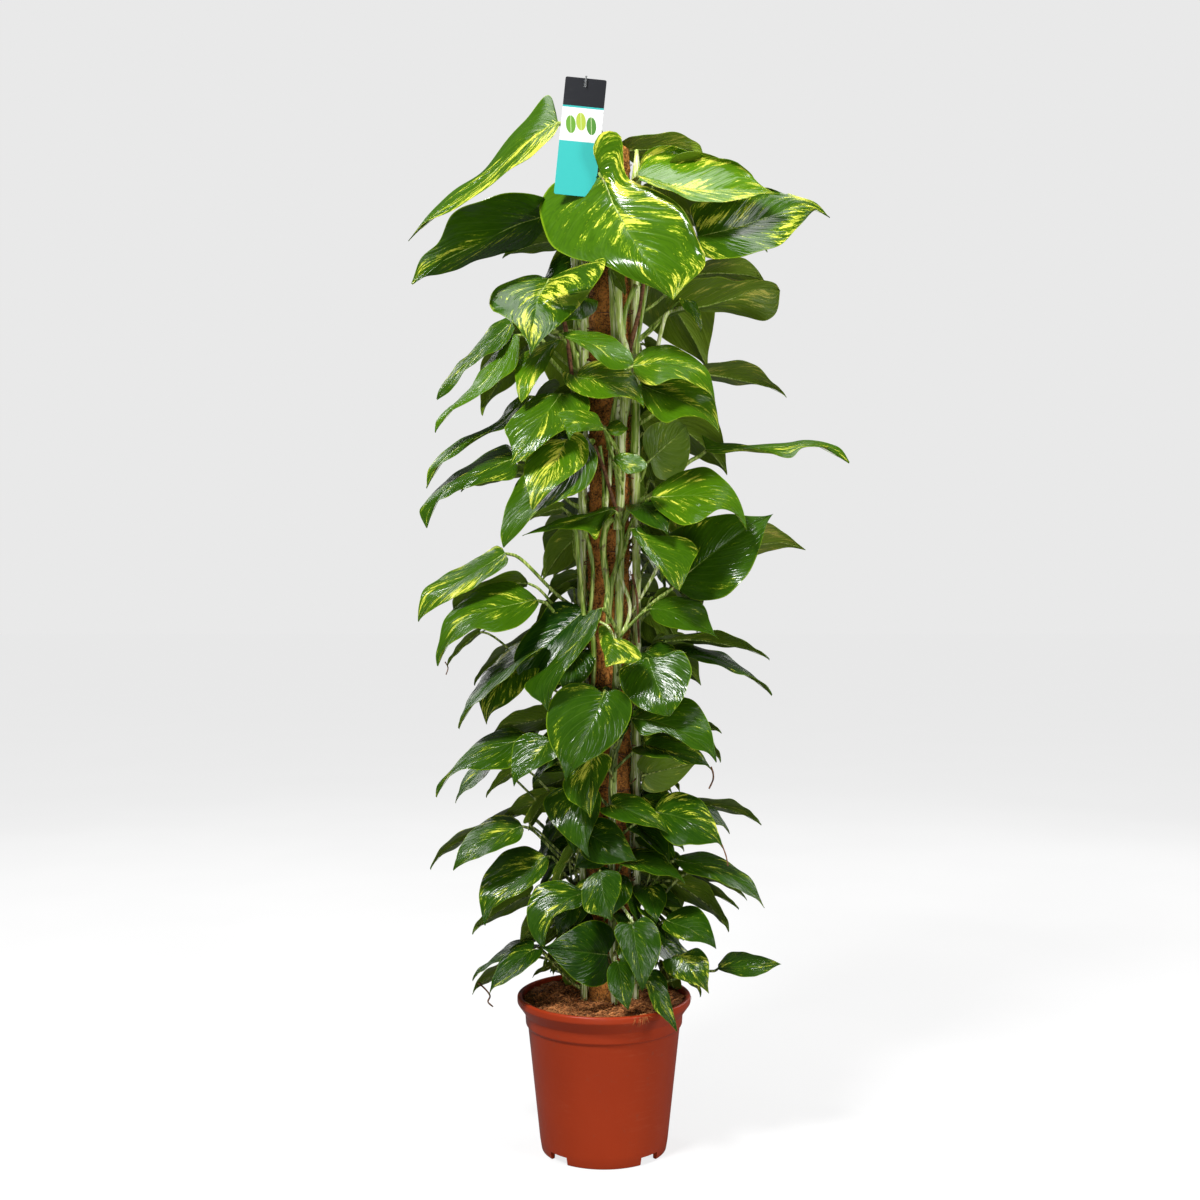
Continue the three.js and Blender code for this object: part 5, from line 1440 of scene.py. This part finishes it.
def card_finish(group):
    """Plain bands with three plain leaf shapes, drawn in the card's own map."""
    material, tree, shader = new_finish("printed_card")
    card_map = add(tree, "ShaderNodeUVMap", uv_map="card").outputs["UV"]
    parts = add(tree, "ShaderNodeSeparateXYZ", {"Vector": card_map}).outputs
    across, up = parts["X"], parts["Y"]
    marks = place_group(tree, group, {"Grain": 1500.0})

    def above(height):
        return rise(tree, up, height - 0.001, height + 0.001)

    def squared(value, size):
        return calc(tree, "POWER", calc(tree, "DIVIDE", value, size), 2.0)

    ink = mixed(tree, above(0.46), (0.035, 0.42, 0.39, 1), (0.72, 0.74, 0.72, 1))
    for number, shade in enumerate(((0.12, 0.3, 0.03, 1), (0.36, 0.46, 0.05, 1), (0.07, 0.22, 0.03, 1))):
        lean = calc(tree, "MULTIPLY_ADD", up, 0.35, across)
        side = calc(tree, "SUBTRACT", lean, 0.47 + 0.25 * number - 0.02)
        high = calc(tree, "SUBTRACT", up, 0.6 + 0.03 * (number % 2))
        far = calc(tree, "ADD", squared(side, 0.12), squared(high, 0.075))
        inside = rise(tree, far, 0.95, 1.05, 1.0, 0.0)
        rib = rise(tree, calc(tree, "ABSOLUTE", side), 0.006, 0.012, 0.6, 0.0)
        ink = mixed(tree, inside, ink, mixed(tree, rib, shade, (0.6, 0.7, 0.4, 1)))
    ink = mixed(tree, above(0.745), ink, (0.03, 0.38, 0.36, 1))
    ink = mixed(tree, above(0.76), ink, (0.008, 0.009, 0.012, 1))
    ink = mixed(tree, calc(tree, "MULTIPLY", marks["Rubbed"], 0.1), ink, (0.8, 0.8, 0.8, 1))
    dress(tree, shader, ink, (marks["Rubbed"], 0.0, 1.0, 0.32, 0.45), marks["Height"], 0.00003)
    return material


def rod_finish(group):
    material, tree, shader = new_finish(
        "clear_plastic", Base_Color=(0.93, 0.96, 0.96, 1), Transmission_Weight=0.9, IOR=1.46
    )
    marks = place_group(tree, group, {"Grain": 1200.0})
    put(tree, shader["Roughness"], rise(tree, marks["Rubbed"], 0.0, 1.0, 0.06, 0.22))
    return material


def stake_finish(group):
    material, tree, shader = new_finish("split_wood", Specular_IOR_Level=0.3)
    place = along_object(tree)
    fibre = place_group(tree, group, {"Scale": 160.0})
    grain = noise(tree, stretched(tree, place, 9.0, 9.0, 0.6), 30.0, 5.0, 0.6)
    wood = mixed(tree, rise(tree, grain, 0.35, 0.7), (0.3, 0.19, 0.09, 1), (0.5, 0.35, 0.19, 1))
    dress(tree, shader, wood, (grain, 0.3, 0.7, 0.7, 0.85), fibre["Height"], 0.0004)
    return material


def floor_finish():
    material, tree, shader = new_finish("studio_floor", Specular_IOR_Level=0.1)
    cloud = noise(tree, along_object(tree), 2.0, 2.0, 0.5)
    grey = mixed(tree, rise(tree, cloud, 0.3, 0.7), (0.2, 0.2, 0.2, 1), (0.22, 0.22, 0.22, 1))
    put(tree, shader["Base Color"], grey)
    put(tree, shader["Roughness"], rise(tree, cloud, 0.3, 0.7, 0.75, 0.8))
    put(tree, shader["Emission Color"], (1, 1, 1, 1))
    seen = add(tree, "ShaderNodeLightPath").outputs["Is Camera Ray"]
    put(tree, shader["Emission Strength"], calc(tree, "MULTIPLY", seen, 0.78))
    return material


# Pot and soil
def make_pot(finish):
    profile = rounded([
        (0, FOOT_HEIGHT),
        (FOOT_RADIUS - FOOT_WIDTH, FOOT_HEIGHT),
        (FOOT_RADIUS - FOOT_WIDTH, 0),
        (FOOT_RADIUS, 0),
        (BASE_RADIUS, POT_FLOOR + 1),
        (WALL_TOP_RADIUS, COLLAR_BOTTOM - 3),
        (COLLAR_FOOT_RADIUS, COLLAR_BOTTOM),
        (COLLAR_RADIUS, LIP_BOTTOM),
        (RIM_RADIUS, LIP_BOTTOM + LIP_FLARE),
        (RIM_RADIUS, POT_HEIGHT - 2),
        (RIM_RADIUS - 2, POT_HEIGHT),
        (RIM_RADIUS - 6.5, POT_HEIGHT - 1),
        (COLLAR_RADIUS - WALL, LIP_BOTTOM + 2),
        (COLLAR_FOOT_RADIUS - WALL, COLLAR_BOTTOM + 1),
        (WALL_TOP_RADIUS - WALL, COLLAR_BOTTOM - 2),
        (BASE_RADIUS - WALL, POT_FLOOR),
        (0, POT_FLOOR),
    ], 1.6, 3)
    pot = turned("nursery_pot", profile, POT_SIDES)
    for i in range(4):
        angle = math.radians(45 + 90 * i)
        out = np.array((math.cos(angle), math.sin(angle), 0))
        cut_with(pot, primitive(
            bpy.ops.mesh.primitive_cube_add, size=MM, location=in_frame(FOOT_RADIUS * out),
            rotation=(0, 0, angle), scale=(FOOT_RADIUS / 2, FOOT_GAP, 2 * FOOT_GAP_HEIGHT),
        ))
        cut_with(pot, primitive(
            bpy.ops.mesh.primitive_cylinder_add, vertices=24, radius=DRAIN_RADIUS * MM,
            depth=4 * WALL * MM, location=in_frame(DRAIN_CIRCLE * out + UP * (FOOT_HEIGHT + WALL / 2)),
        ))
    shade_smooth(pot, 35)
    coat_with(pot, finish)
    place_on_frame(pot, "pot")


def soil_height(x, y):
    """The soil's top at a place, lumpy and a little higher round the pole."""
    far = math.hypot(x, y)
    height = SOIL_HEIGHT + SOIL_RISE - min(max((far - 40) / 60, 0), 1)
    lump = 1.4 * math.sin(x / 9 + 1) * math.cos(y / 8) + 0.9 * math.sin((x + y) / 4.5)
    lump += 0.8 * math.sin(x / 2.9 + 2) * math.sin(y / 3.3)
    return height + lump * min(1, max(0, (far - 32) / 20))


def make_soil(soil_finish, straw_finish):
    inset = WALL + GAP
    profile = [
        (0, POT_FLOOR + GAP),
        (BASE_RADIUS - inset, POT_FLOOR + GAP),
        (WALL_TOP_RADIUS - inset, COLLAR_BOTTOM - 2),
        (COLLAR_FOOT_RADIUS - inset, COLLAR_BOTTOM + 1),
        (COLLAR_RADIUS - inset, LIP_BOTTOM + 2),
        (SOIL_EDGE_RADIUS, SOIL_HEIGHT - 3),
    ]
    profile += [(radius, SOIL_HEIGHT) for radius in np.linspace(SOIL_EDGE_RADIUS + 1.5, 0, SOIL_RINGS)]
    soil = turned("potting_soil", profile, SOIL_SIDES)
    for vertex in soil.data.vertices:
        x, y, z = (np.array(vertex.co) - AXIS) / MM
        if z > SOIL_HEIGHT - 0.5:
            vertex.co.z = (soil_height(x, y) + random.uniform(-0.5, 0.5)) * MM
    cut_with(soil, primitive(
        bpy.ops.mesh.primitive_cylinder_add, vertices=64, radius=(POLE_RADIUS + 1.4) * MM, depth=0.3,
        location=in_frame((POLE_X, 0, POLE_BOTTOM + 150)),
    ))
    shade_smooth(soil, 80)
    coat_with(soil, soil_finish)

    ball = primitive(bpy.ops.mesh.primitive_ico_sphere_add, subdivisions=1, radius=1.0)
    corners, faces = corners_of(ball.data), [tuple(face.vertices) for face in ball.data.polygons]
    bpy.data.objects.remove(ball)
    crumbs = [soil_crumb(corners, faces) for _ in range(CRUMBS)]
    straws = [soil_straw() for _ in range(STRAWS)] + [rim_straw() for _ in range(RIM_STRAWS)]
    straws = tubes_object("soil_straws", straws, FIBRE_SIDES, straw_finish)
    for obj in crumbs:
        coat_with(obj, soil_finish)
    soil = join_all([soil, *crumbs, straws], "potting_soil")
    place_on_frame(soil, "soil")


def on_soil(margin):
    """A place on the soil between the pole and the pot."""
    while True:
        angle = random.uniform(0, TURN)
        far = math.sqrt(random.uniform(36**2, (SOIL_EDGE_RADIUS - 3 - margin) ** 2))
        x, y = far * math.cos(angle), far * math.sin(angle)
        if math.hypot(x - POLE_X, y) > POLE_RADIUS + 6:
            return np.array((x, y, soil_height(x, y)))


def soil_crumb(corners, faces):
    """A copy of a ball as a lump of soil, turned and sized by chance."""
    size = random.uniform(0.9, 1.8) ** 2
    shape = corners * np.array([random.uniform(0.6, 1.2) for _ in range(3)]) * size
    shape *= np.array([[random.uniform(0.8, 1.2)] for _ in corners])
    angle = random.uniform(0, TURN)
    cosine, sine = math.cos(angle), math.sin(angle)
    turn = np.array(((cosine, -sine, 0), (sine, cosine, 0), (0, 0, 1)))
    place = on_soil(3) + np.array((0, 0, 0.2 * size))
    return outline_object("crumb", in_frame(shape @ turn + place), faces=faces)


def soil_straw():
    start = on_soil(10)
    angle = random.uniform(0, TURN)
    way = np.array((math.cos(angle), math.sin(angle), random.uniform(-0.1, 0.55)))
    curl = np.array((-math.sin(angle), math.cos(angle), random.uniform(-0.3, 0.3)))
    curl = curl * random.uniform(-0.35, 0.35)
    long = random.uniform(3, 9) * random.uniform(0.5, 1.6)
    thick = random.uniform(0.7, 1.5)
    points = [start + way * long * share + curl * long * share * share for share in (0, 0.35, 0.7, 1)]
    for point in points:
        far = math.hypot(point[0], point[1])
        if far > SOIL_EDGE_RADIUS - 1:
            point[:2] *= (SOIL_EDGE_RADIUS - 1) / far
        point[2] = max(point[2], soil_height(point[0], point[1]) + 0.2)
    return points, [0.35 * thick, 0.5 * thick, 0.45 * thick, 0.2 * thick]


def rim_straw():
    """A fibre that lies over the pot's rim and hangs down outside it."""
    angle = -math.pi / 2 + random.choice((0.42, 0.45, random.uniform(-2.6, 2.6)))
    turn = random.uniform(-0.05, 0.05)
    steps = (
        (SOIL_EDGE_RADIUS - 4, SOIL_HEIGHT + SOIL_RISE),
        (RIM_RADIUS - 4, POT_HEIGHT + 0.6),
        (RIM_RADIUS + 0.7, POT_HEIGHT - 3),
        (RIM_RADIUS + 0.8, POT_HEIGHT - 3 - random.uniform(2, 12)),
    )
    points = []
    for i, (far, height) in enumerate(steps):
        here = angle + turn * i
        points.append(np.array((far * math.cos(here), far * math.sin(here), height)))
    return points, [0.4, 0.45, 0.35, 0.15]


# Pole
def make_sleeve(finish):
    heights = np.linspace(POLE_BOTTOM, POLE_TOP - 5, SLEEVE_RINGS)
    inner = CORE_RADIUS + GAP
    profile = [(inner, POLE_TOP), (inner, POLE_BOTTOM)]
    profile += [(POLE_RADIUS - 1 + 0.5 * math.sin(height / 40), height) for height in heights]
    profile += [(POLE_RADIUS - 2.5, POLE_TOP - 2), (POLE_RADIUS - 6, POLE_TOP), (inner, POLE_TOP)]
    sleeve = turned("coir_wrap", profile, SLEEVE_SIDES, POLE_X)
    lumps = bpy.data.textures.new("coir_lumps", "CLOUDS")
    lumps.noise_scale = 0.008
    lumps.noise_depth = 3
    outer = sleeve.vertex_groups.new(name="outer")
    middle = in_frame((POLE_X, 0, 0))
    for vertex in sleeve.data.vertices:
        if math.hypot(vertex.co.x - middle[0], vertex.co.y - middle[1]) > (inner + 4) * MM:
            outer.add([vertex.index], 1.0, "REPLACE")
    finish_with(
        sleeve, "DISPLACE", texture=lumps, texture_coords="LOCAL", strength=0.004, mid_level=0.55,
        vertex_group="outer",
    )
    shade_smooth(sleeve, 80)
    coat_with(sleeve, finish)
    fibres = [coir_fibre() for _ in range(COIR_FIBRES)]
    fibres = tubes_object("coir_fibres", fibres, FIBRE_SIDES, finish)
    sleeve = join_all([sleeve, fibres], "coir_wrap")
    place_on_frame(sleeve, "coir_sleeve")


def coir_fibre():
    """One curved fibre that lies on the sleeve and stands a little off it."""
    height = random.uniform(SOIL_HEIGHT + 5, POLE_TOP - 12)
    angle = random.uniform(0, TURN)
    climb = random.gauss(0, 11)
    sweep = random.choice((-1, 1)) * random.uniform(0.08, 0.6)
    lift = random.uniform(0.4, 3.2)
    bow = random.gauss(0, 4)
    points = []
    for share in (0, 0.25, 0.5, 0.75, 1):
        turn = angle + sweep * share
        radius = POLE_RADIUS - 0.6 + lift * math.sin(math.pi * share) ** 2 + random.uniform(-0.3, 0.3)
        z = min(height + climb * share + bow * math.sin(math.pi * share), POLE_TOP - 1)
        points.append((POLE_X + radius * math.cos(turn), radius * math.sin(turn), z))
    thick = random.uniform(0.2, 0.5)
    return points, [thick * 0.6, thick, thick, thick, thick * 0.3]


# Vines
def blade_relief(share, side, seed):
    """How far a blade stands off its middle: ribs, puffed halves, sunk midrib, waves and the drooping tip."""
    share, side = np.asarray(share, float), np.asarray(side, float)
    away, hand = np.abs(side), np.sign(side)
    swept = share - VEIN_SWEEP * away**VEIN_BOW
    ribs = 0.5 - 0.5 * np.cos(TURN * (10 * swept + 0.25 * np.sin(9 * swept + 40 * seed)))
    strong = 0.6 + 0.5 * np.sin(5 * share + 2 * hand + 30 * seed)
    relief = 0.003 * ribs * np.sin(math.pi * away**0.8) * strong
    relief += 0.016 * np.sin(math.pi * away**0.75) * np.sin(math.pi * share**0.8)
    relief -= 0.004 * np.exp(-((side / 0.06) ** 2))
    relief += 0.01 * np.sin(TURN * (1.25 * share + 3 * seed) + 1.3 * side)
    wave = np.sin(TURN * (1.9 * share + seed) + 1.9 * hand)
    wave += 0.55 * np.sin(TURN * (4.3 * share + 5 * seed) + 2.7 * hand)
    relief += 0.018 * wave * away**2.5 * np.sin(math.pi * np.clip(share + 0.1, 0, 1))
    return relief - 0.05 * np.clip((share - 0.75) / 0.25, 0, 1) ** 2


class BladeShape:
    """A flat blade of unit length, width and thickness, modelled once for every leaf of its size."""

    def __init__(self, rows, columns, finishes):
        self.obj = primitive(
            bpy.ops.mesh.primitive_grid_add, x_subdivisions=rows, y_subdivisions=columns, size=2
        )
        mesh = self.obj.data
        flat = corners_of(mesh)
        share, side = (flat[:, 0] + 1) / 2, np.sign(flat[:, 1]) * np.abs(flat[:, 1]) ** 1.4
        flat[:, 0], flat[:, 1] = flat_blade(share, side)
        mesh.vertices.foreach_set("co", flat.ravel())
        veins = new_map(mesh, "veins")
        for loop in mesh.loops:
            veins[loop.index].uv = (share[loop.vertex_index], 0.5 + 0.5 * side[loop.vertex_index])
        write_on(mesh, "share", share)
        write_on(mesh, "across", side)
        coat_with(self.obj, *finishes)
        finish_with(self.obj, "SOLIDIFY", thickness=1.0, offset=0.0, material_offset=1, use_rim=True)
        shade_smooth(self.obj, 50)
        mesh = self.obj.data
        self.flat = corners_of(mesh)
        self.share, self.side = (self.read(mesh, name).astype(float) for name in ("share", "across"))

    @staticmethod
    def read(mesh, name):
        values = np.empty(len(mesh.vertices), np.float32)
        mesh.attributes[name].data.foreach_get("value", values)
        mesh.attributes.remove(mesh.attributes[name])
        return values

    def leaf(self, leaf, finish, number):
        """A copy of the blade laid on a leaf's place, waved and ribbed, with its finish written on it."""
        seed = (number * GOLDEN_SHARE) % 1
        flat, normals = leaf.surface(self.share, self.side)
        relief = leaf.length * leaf.calm * blade_relief(self.share, self.side, seed)
        lift = relief + self.flat[:, 2] * 0.5
        places = in_frame(flat + normals * lift[:, None])
        obj = bpy.data.objects.new("leaf", self.obj.data.copy())
        bpy.context.collection.objects.link(obj)
        obj.data.vertices.foreach_set("co", places.ravel())
        streaks, tone_and_painted_shade, side = finish
        # Painted shade: the tone is darkened towards the bottom of the plant, where less light reaches
        tone_and_painted_shade *= lerp(0.15, 1.0, leaf.base[2] / POLE_TOP)
        for name, value in (("streaks", streaks), ("tone_and_painted_shade", tone_and_painted_shade), ("side", side), ("seed", seed)):
            write_on(obj.data, name, np.full(len(places), value))
        return obj


def stalk_path(stem, leaf, route, number):
    """The stalk from its stem by its knee to the blade, and on under the blade as its midrib."""
    root, first, second, knee, end = stalk_bends(stem, leaf, route)
    points, radii = [], []
    for share in np.linspace(0, 0.94, 13):
        points.append(on_curve(root, first, second, knee, share))
        radii.append(leaf.radius * (1 + 0.45 * max(0, 1 - share / 0.14) - 0.1 * share))
    start = points[-1]
    for share in (0.35, 0.7, 1.0):
        points.append(bend(start, knee, end, share))
        radii.append(leaf.radius * lerp(0.95, 0.8, share))
    shares = np.array((0.15, 0.3, 0.45, 0.62, 0.8, 0.93))
    places, normals = leaf.surface(shares, shares * 0)
    relief = leaf.length * leaf.calm * blade_relief(shares, shares * 0, (number * GOLDEN_SHARE) % 1)
    for place, normal, lift, thick in zip(places, normals, relief, (0.6, 0.48, 0.38, 0.27, 0.17, 0.07)):
        radius = leaf.radius * thick
        points.append(place + normal * (lift - 0.25 - 0.45 * radius))
        radii.append(radius)
    return points, radii


def stem_path(name):
    """A climbing stem with a swelling at each of its nodes."""
    top, phase = STEMS[name][1:]
    points, radii = [], []
    for share in np.linspace(0, 1, STEM_RINGS):
        height = lerp(STEM_BOTTOM, top, share)
        points.append(stem_place(name, height))
        swelling = max(0.0, math.cos(TURN * (height / NODE_SPACING + phase))) ** 6
        radii.append(lerp(STEM_THIN, STEM_THICK, math.sqrt(share)) * (1 + 0.16 * swelling))
    for i in range(1, 6):
        radii[-i] *= 0.2 + 0.14 * i
    return points, radii


def clinging_roots(name):
    """Short brown roots from a stem's nodes to the coir."""
    paths = []
    top, phase = STEMS[name][1:]
    for node in range(4, int(top / NODE_SPACING)):
        height = NODE_SPACING * (node - phase % 1)
        if not SOIL_HEIGHT + 15 < height < top - 30:
            continue
        for _ in range(random.randint(1, 3)):
            start = stem_place(name, height + random.uniform(-3, 3))
            out = unit(np.array((start[0] - POLE_X, start[1], 0.0)))
            sideways = np.array((-out[1], out[0], 0.0)) * random.choice((-1, 1))
            long = random.uniform(8, 26)
            middle = start + sideways * 0.45 * long - out * 2 + UP * random.uniform(-4, 3)
            end = start + sideways * long - out * 9 + UP * random.uniform(-10, 4)
            paths.append(([start, lerp(start, middle, 0.6), middle, end], [1.3, 1.1, 0.9, 0.4]))
    return paths


def seen_stalks(kind):
    """The stems, stalks and roots of one kind that show in the photograph, laid along their pictures."""
    paths = []
    for width, own, depth, line in SEEN_STALKS:
        if own != kind:
            continue
        knots = np.array([seen_place(*(knot + [depth])[:3]) for knot in outline_knots(line)])
        at = np.linspace(0, len(knots) - 1, 5 * len(knots))
        radii = 0.5 * width * VIEW_SCALE * (1 - 0.1 * at / at[-1] + 0.05 * np.sin(7 * at + width))
        paths.append((smooth_places(at, range(len(knots)), knots), radii))
    return paths


def make_vines(leaves, blades, stalk, climbing, root):
    for name in STEMS:
        own = [one for one in leaves if one[0] == name]
        stalks = [stalk_path(stem, leaf, route, number) for stem, leaf, route, _, number in own]
        parts = [
            tubes_object("stem", [stem_path(name)], STEM_SIDES, climbing),
            tubes_object("stalks", stalks, STALK_SIDES, stalk),
            tubes_object("roots", clinging_roots(name), ROOT_SIDES, root),
        ]
        if name == "vine_front":
            for kind, finish in (("pale", climbing), ("green", stalk), ("brown", root)):
                parts.append(tubes_object("seen_" + kind, seen_stalks(kind), STALK_SIDES, finish))
        for _, leaf, _, finish, number in own:
            blade = blades[leaf.length <= SMALL_LEAF or number >= FIRST_INNER]
            parts.append(blade.leaf(leaf, finish, number))
        place_on_frame(join_all(parts, "pothos_" + name), name)


# Tag
def card_place(across, up, front):
    middle = seen_place(CARD_COLUMN, CARD_ROW, CARD_DEPTH)
    lean = np.array((math.cos(CARD_LEAN), 0, -math.sin(CARD_LEAN)))
    upright = np.array((math.sin(CARD_LEAN), 0, math.cos(CARD_LEAN)))
    return middle + lean * across + upright * up - np.array((0, front, 0))


def make_tag(finish):
    card = primitive(
        bpy.ops.mesh.primitive_cube_add, size=MM, location=in_frame(card_place(0, 0, 0)),
        rotation=(0, CARD_LEAN, 0), scale=(CARD_WIDTH, CARD_THICKNESS, CARD_HEIGHT),
    )
    card.name = card.data.name = "plant_tag"
    bpy.ops.object.transform_apply(location=True, rotation=True, scale=True)
    bpy.ops.object.mode_set(mode="EDIT")
    bpy.ops.mesh.select_all(action="DESELECT")
    edit = bmesh.from_edit_mesh(card.data)
    for edge in edit.edges:
        way = edge.verts[1].co - edge.verts[0].co
        edge.select_set(abs(way.y) > 0.9 * way.length)
    bmesh.update_edit_mesh(card.data)
    bpy.ops.mesh.bevel(offset=2.5 * MM, segments=5, affect="EDGES")
    bpy.ops.object.mode_set(mode="OBJECT")
    card_map = new_map(card.data, "card")
    middle = card_place(0, 0, 0)
    across = card_place(1, 0, 0) - middle
    up = card_place(0, 1, 0) - middle
    for loop in card.data.loops:
        place = (np.array(card.data.vertices[loop.vertex_index].co) - AXIS) / MM - middle
        card_map[loop.index].uv = (0.5 + place @ across / CARD_WIDTH, 0.5 + place @ up / CARD_HEIGHT)
    coat_with(card, finish)
    place_on_frame(card, "tag")


def make_rod(finish):
    clear = CARD_THICKNESS / 2 + GAP + ROD_RADIUS
    top = CARD_HEIGHT / 2 + GAP + ROD_RADIUS
    points = rounded([
        (POLE_X, 0, POLE_TOP - ROD_HOLE_DEPTH),
        (POLE_X, 0, POLE_TOP + 8),
        card_place(4, 40, -clear - 6),
        card_place(0, 60, -clear),
        card_place(0, top, -clear),
        card_place(0, top, clear),
        card_place(0, top - HOOK_DROP, clear),
    ], 6, 5)
    rod = tubes_object("tag_rod", [(points, [ROD_RADIUS] * len(points))], ROD_SIDES, finish)
    place_on_frame(rod, "tag_stake")


# Studio
def softbox(name, place, aim, size, power):
    light = bpy.data.lights.new(name, "AREA")
    light.shape = "RECTANGLE"
    light.size, light.size_y = size
    light.energy = power
    obj = bpy.data.objects.new(name, light)
    obj.location = place
    obj.rotation_euler = (Vector(aim) - Vector(place)).to_track_quat("-Z", "Y").to_euler()
    bpy.context.collection.objects.link(obj)


def make_studio():
    floor = primitive(bpy.ops.mesh.primitive_plane_add, size=60, location=(0, 0, 0))
    floor.name = floor.data.name = "studio_floor"
    coat_with(floor, floor_finish())
    for name, settings in LIGHTS.items():
        softbox(name, *settings)
    world = bpy.data.worlds.new("studio")
    bpy.context.scene.world = world
    world.use_nodes = True
    tree = world.node_tree
    seen = add(tree, "ShaderNodeLightPath").outputs["Is Camera Ray"]
    put(tree, tree.nodes["Background"].inputs["Color"], (1, 1, 1, 1))
    put(tree, tree.nodes["Background"].inputs["Strength"], calc(tree, "MULTIPLY_ADD", seen, 0.705, 0.11))
    bpy.context.scene.view_settings.view_transform = "Standard"


def make_camera():
    data = bpy.data.cameras.new("front")
    data.sensor_width = SENSOR
    data.lens = VIEW_DISTANCE / VIEW_SCALE / PHOTO_SIZE * SENSOR
    data.shift_x = (PHOTO_SIZE / 2 - AXIS_COLUMN) / PHOTO_SIZE
    data.clip_start, data.clip_end = 0.05, 60
    camera = bpy.data.objects.new("front", data)
    camera.location = in_frame((0, -VIEW_DISTANCE, VIEW_HEIGHT))
    camera.rotation_euler = (math.pi / 2, 0, 0)
    bpy.context.collection.objects.link(camera)
    bpy.context.scene.camera = camera


# The plant
pattern, fibre, scuff = leaf_pattern_group(), fibre_group(), scuff_group()
upper = leaf_finish("leaf_upper", pattern, UPPER_SHADES, 0.14, 0.0006)
under = leaf_finish("leaf_under", pattern, UNDER_SHADES, 0.3, -0.0008)
coir = fibre_finish("coir_fibre", fibre, 230.0, (0.03, 0.01, 0.003, 1), (0.78, 0.31, 0.065, 1), 0.0022)
earth = fibre_finish("peat_and_coir", fibre, 330.0, (0.02, 0.008, 0.003, 1), (0.52, 0.2, 0.065, 1), 0.0014)
straw = fibre_finish("coir_straw", fibre, 110.0, (0.08, 0.026, 0.008, 1), (0.8, 0.33, 0.11, 1), 0.0003)

make_pot(pot_finish(scuff))
make_soil(earth, straw)
coat_with(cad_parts["pole_core"], stake_finish(fibre))
make_sleeve(coir)
leaves = find_leaves()
add_inner_leaves(leaves)
blades = [BladeShape(*grid, (upper, under)) for grid in (LARGE_BLADE, SMALL_BLADE)]
stalk = stalk_finish("green_stalk", (0.05, 0.09, 0.008, 1), (0.2, 0.33, 0.025, 1), (0.5, 0.58, 0.16, 1))
climbing = stalk_finish("climbing_stem", (0.2, 0.28, 0.05, 1), (0.52, 0.66, 0.14, 1), (0.95, 0.97, 0.64, 1))
root = fibre_finish("aerial_root", fibre, 120.0, (0.045, 0.018, 0.008, 1), (0.26, 0.12, 0.055, 1), 0.0003)
make_vines(leaves, blades, stalk, climbing, root)
for blade in blades:
    bpy.data.objects.remove(blade.obj)
make_tag(card_finish(scuff))
make_rod(rod_finish(scuff))
make_studio()
make_camera()
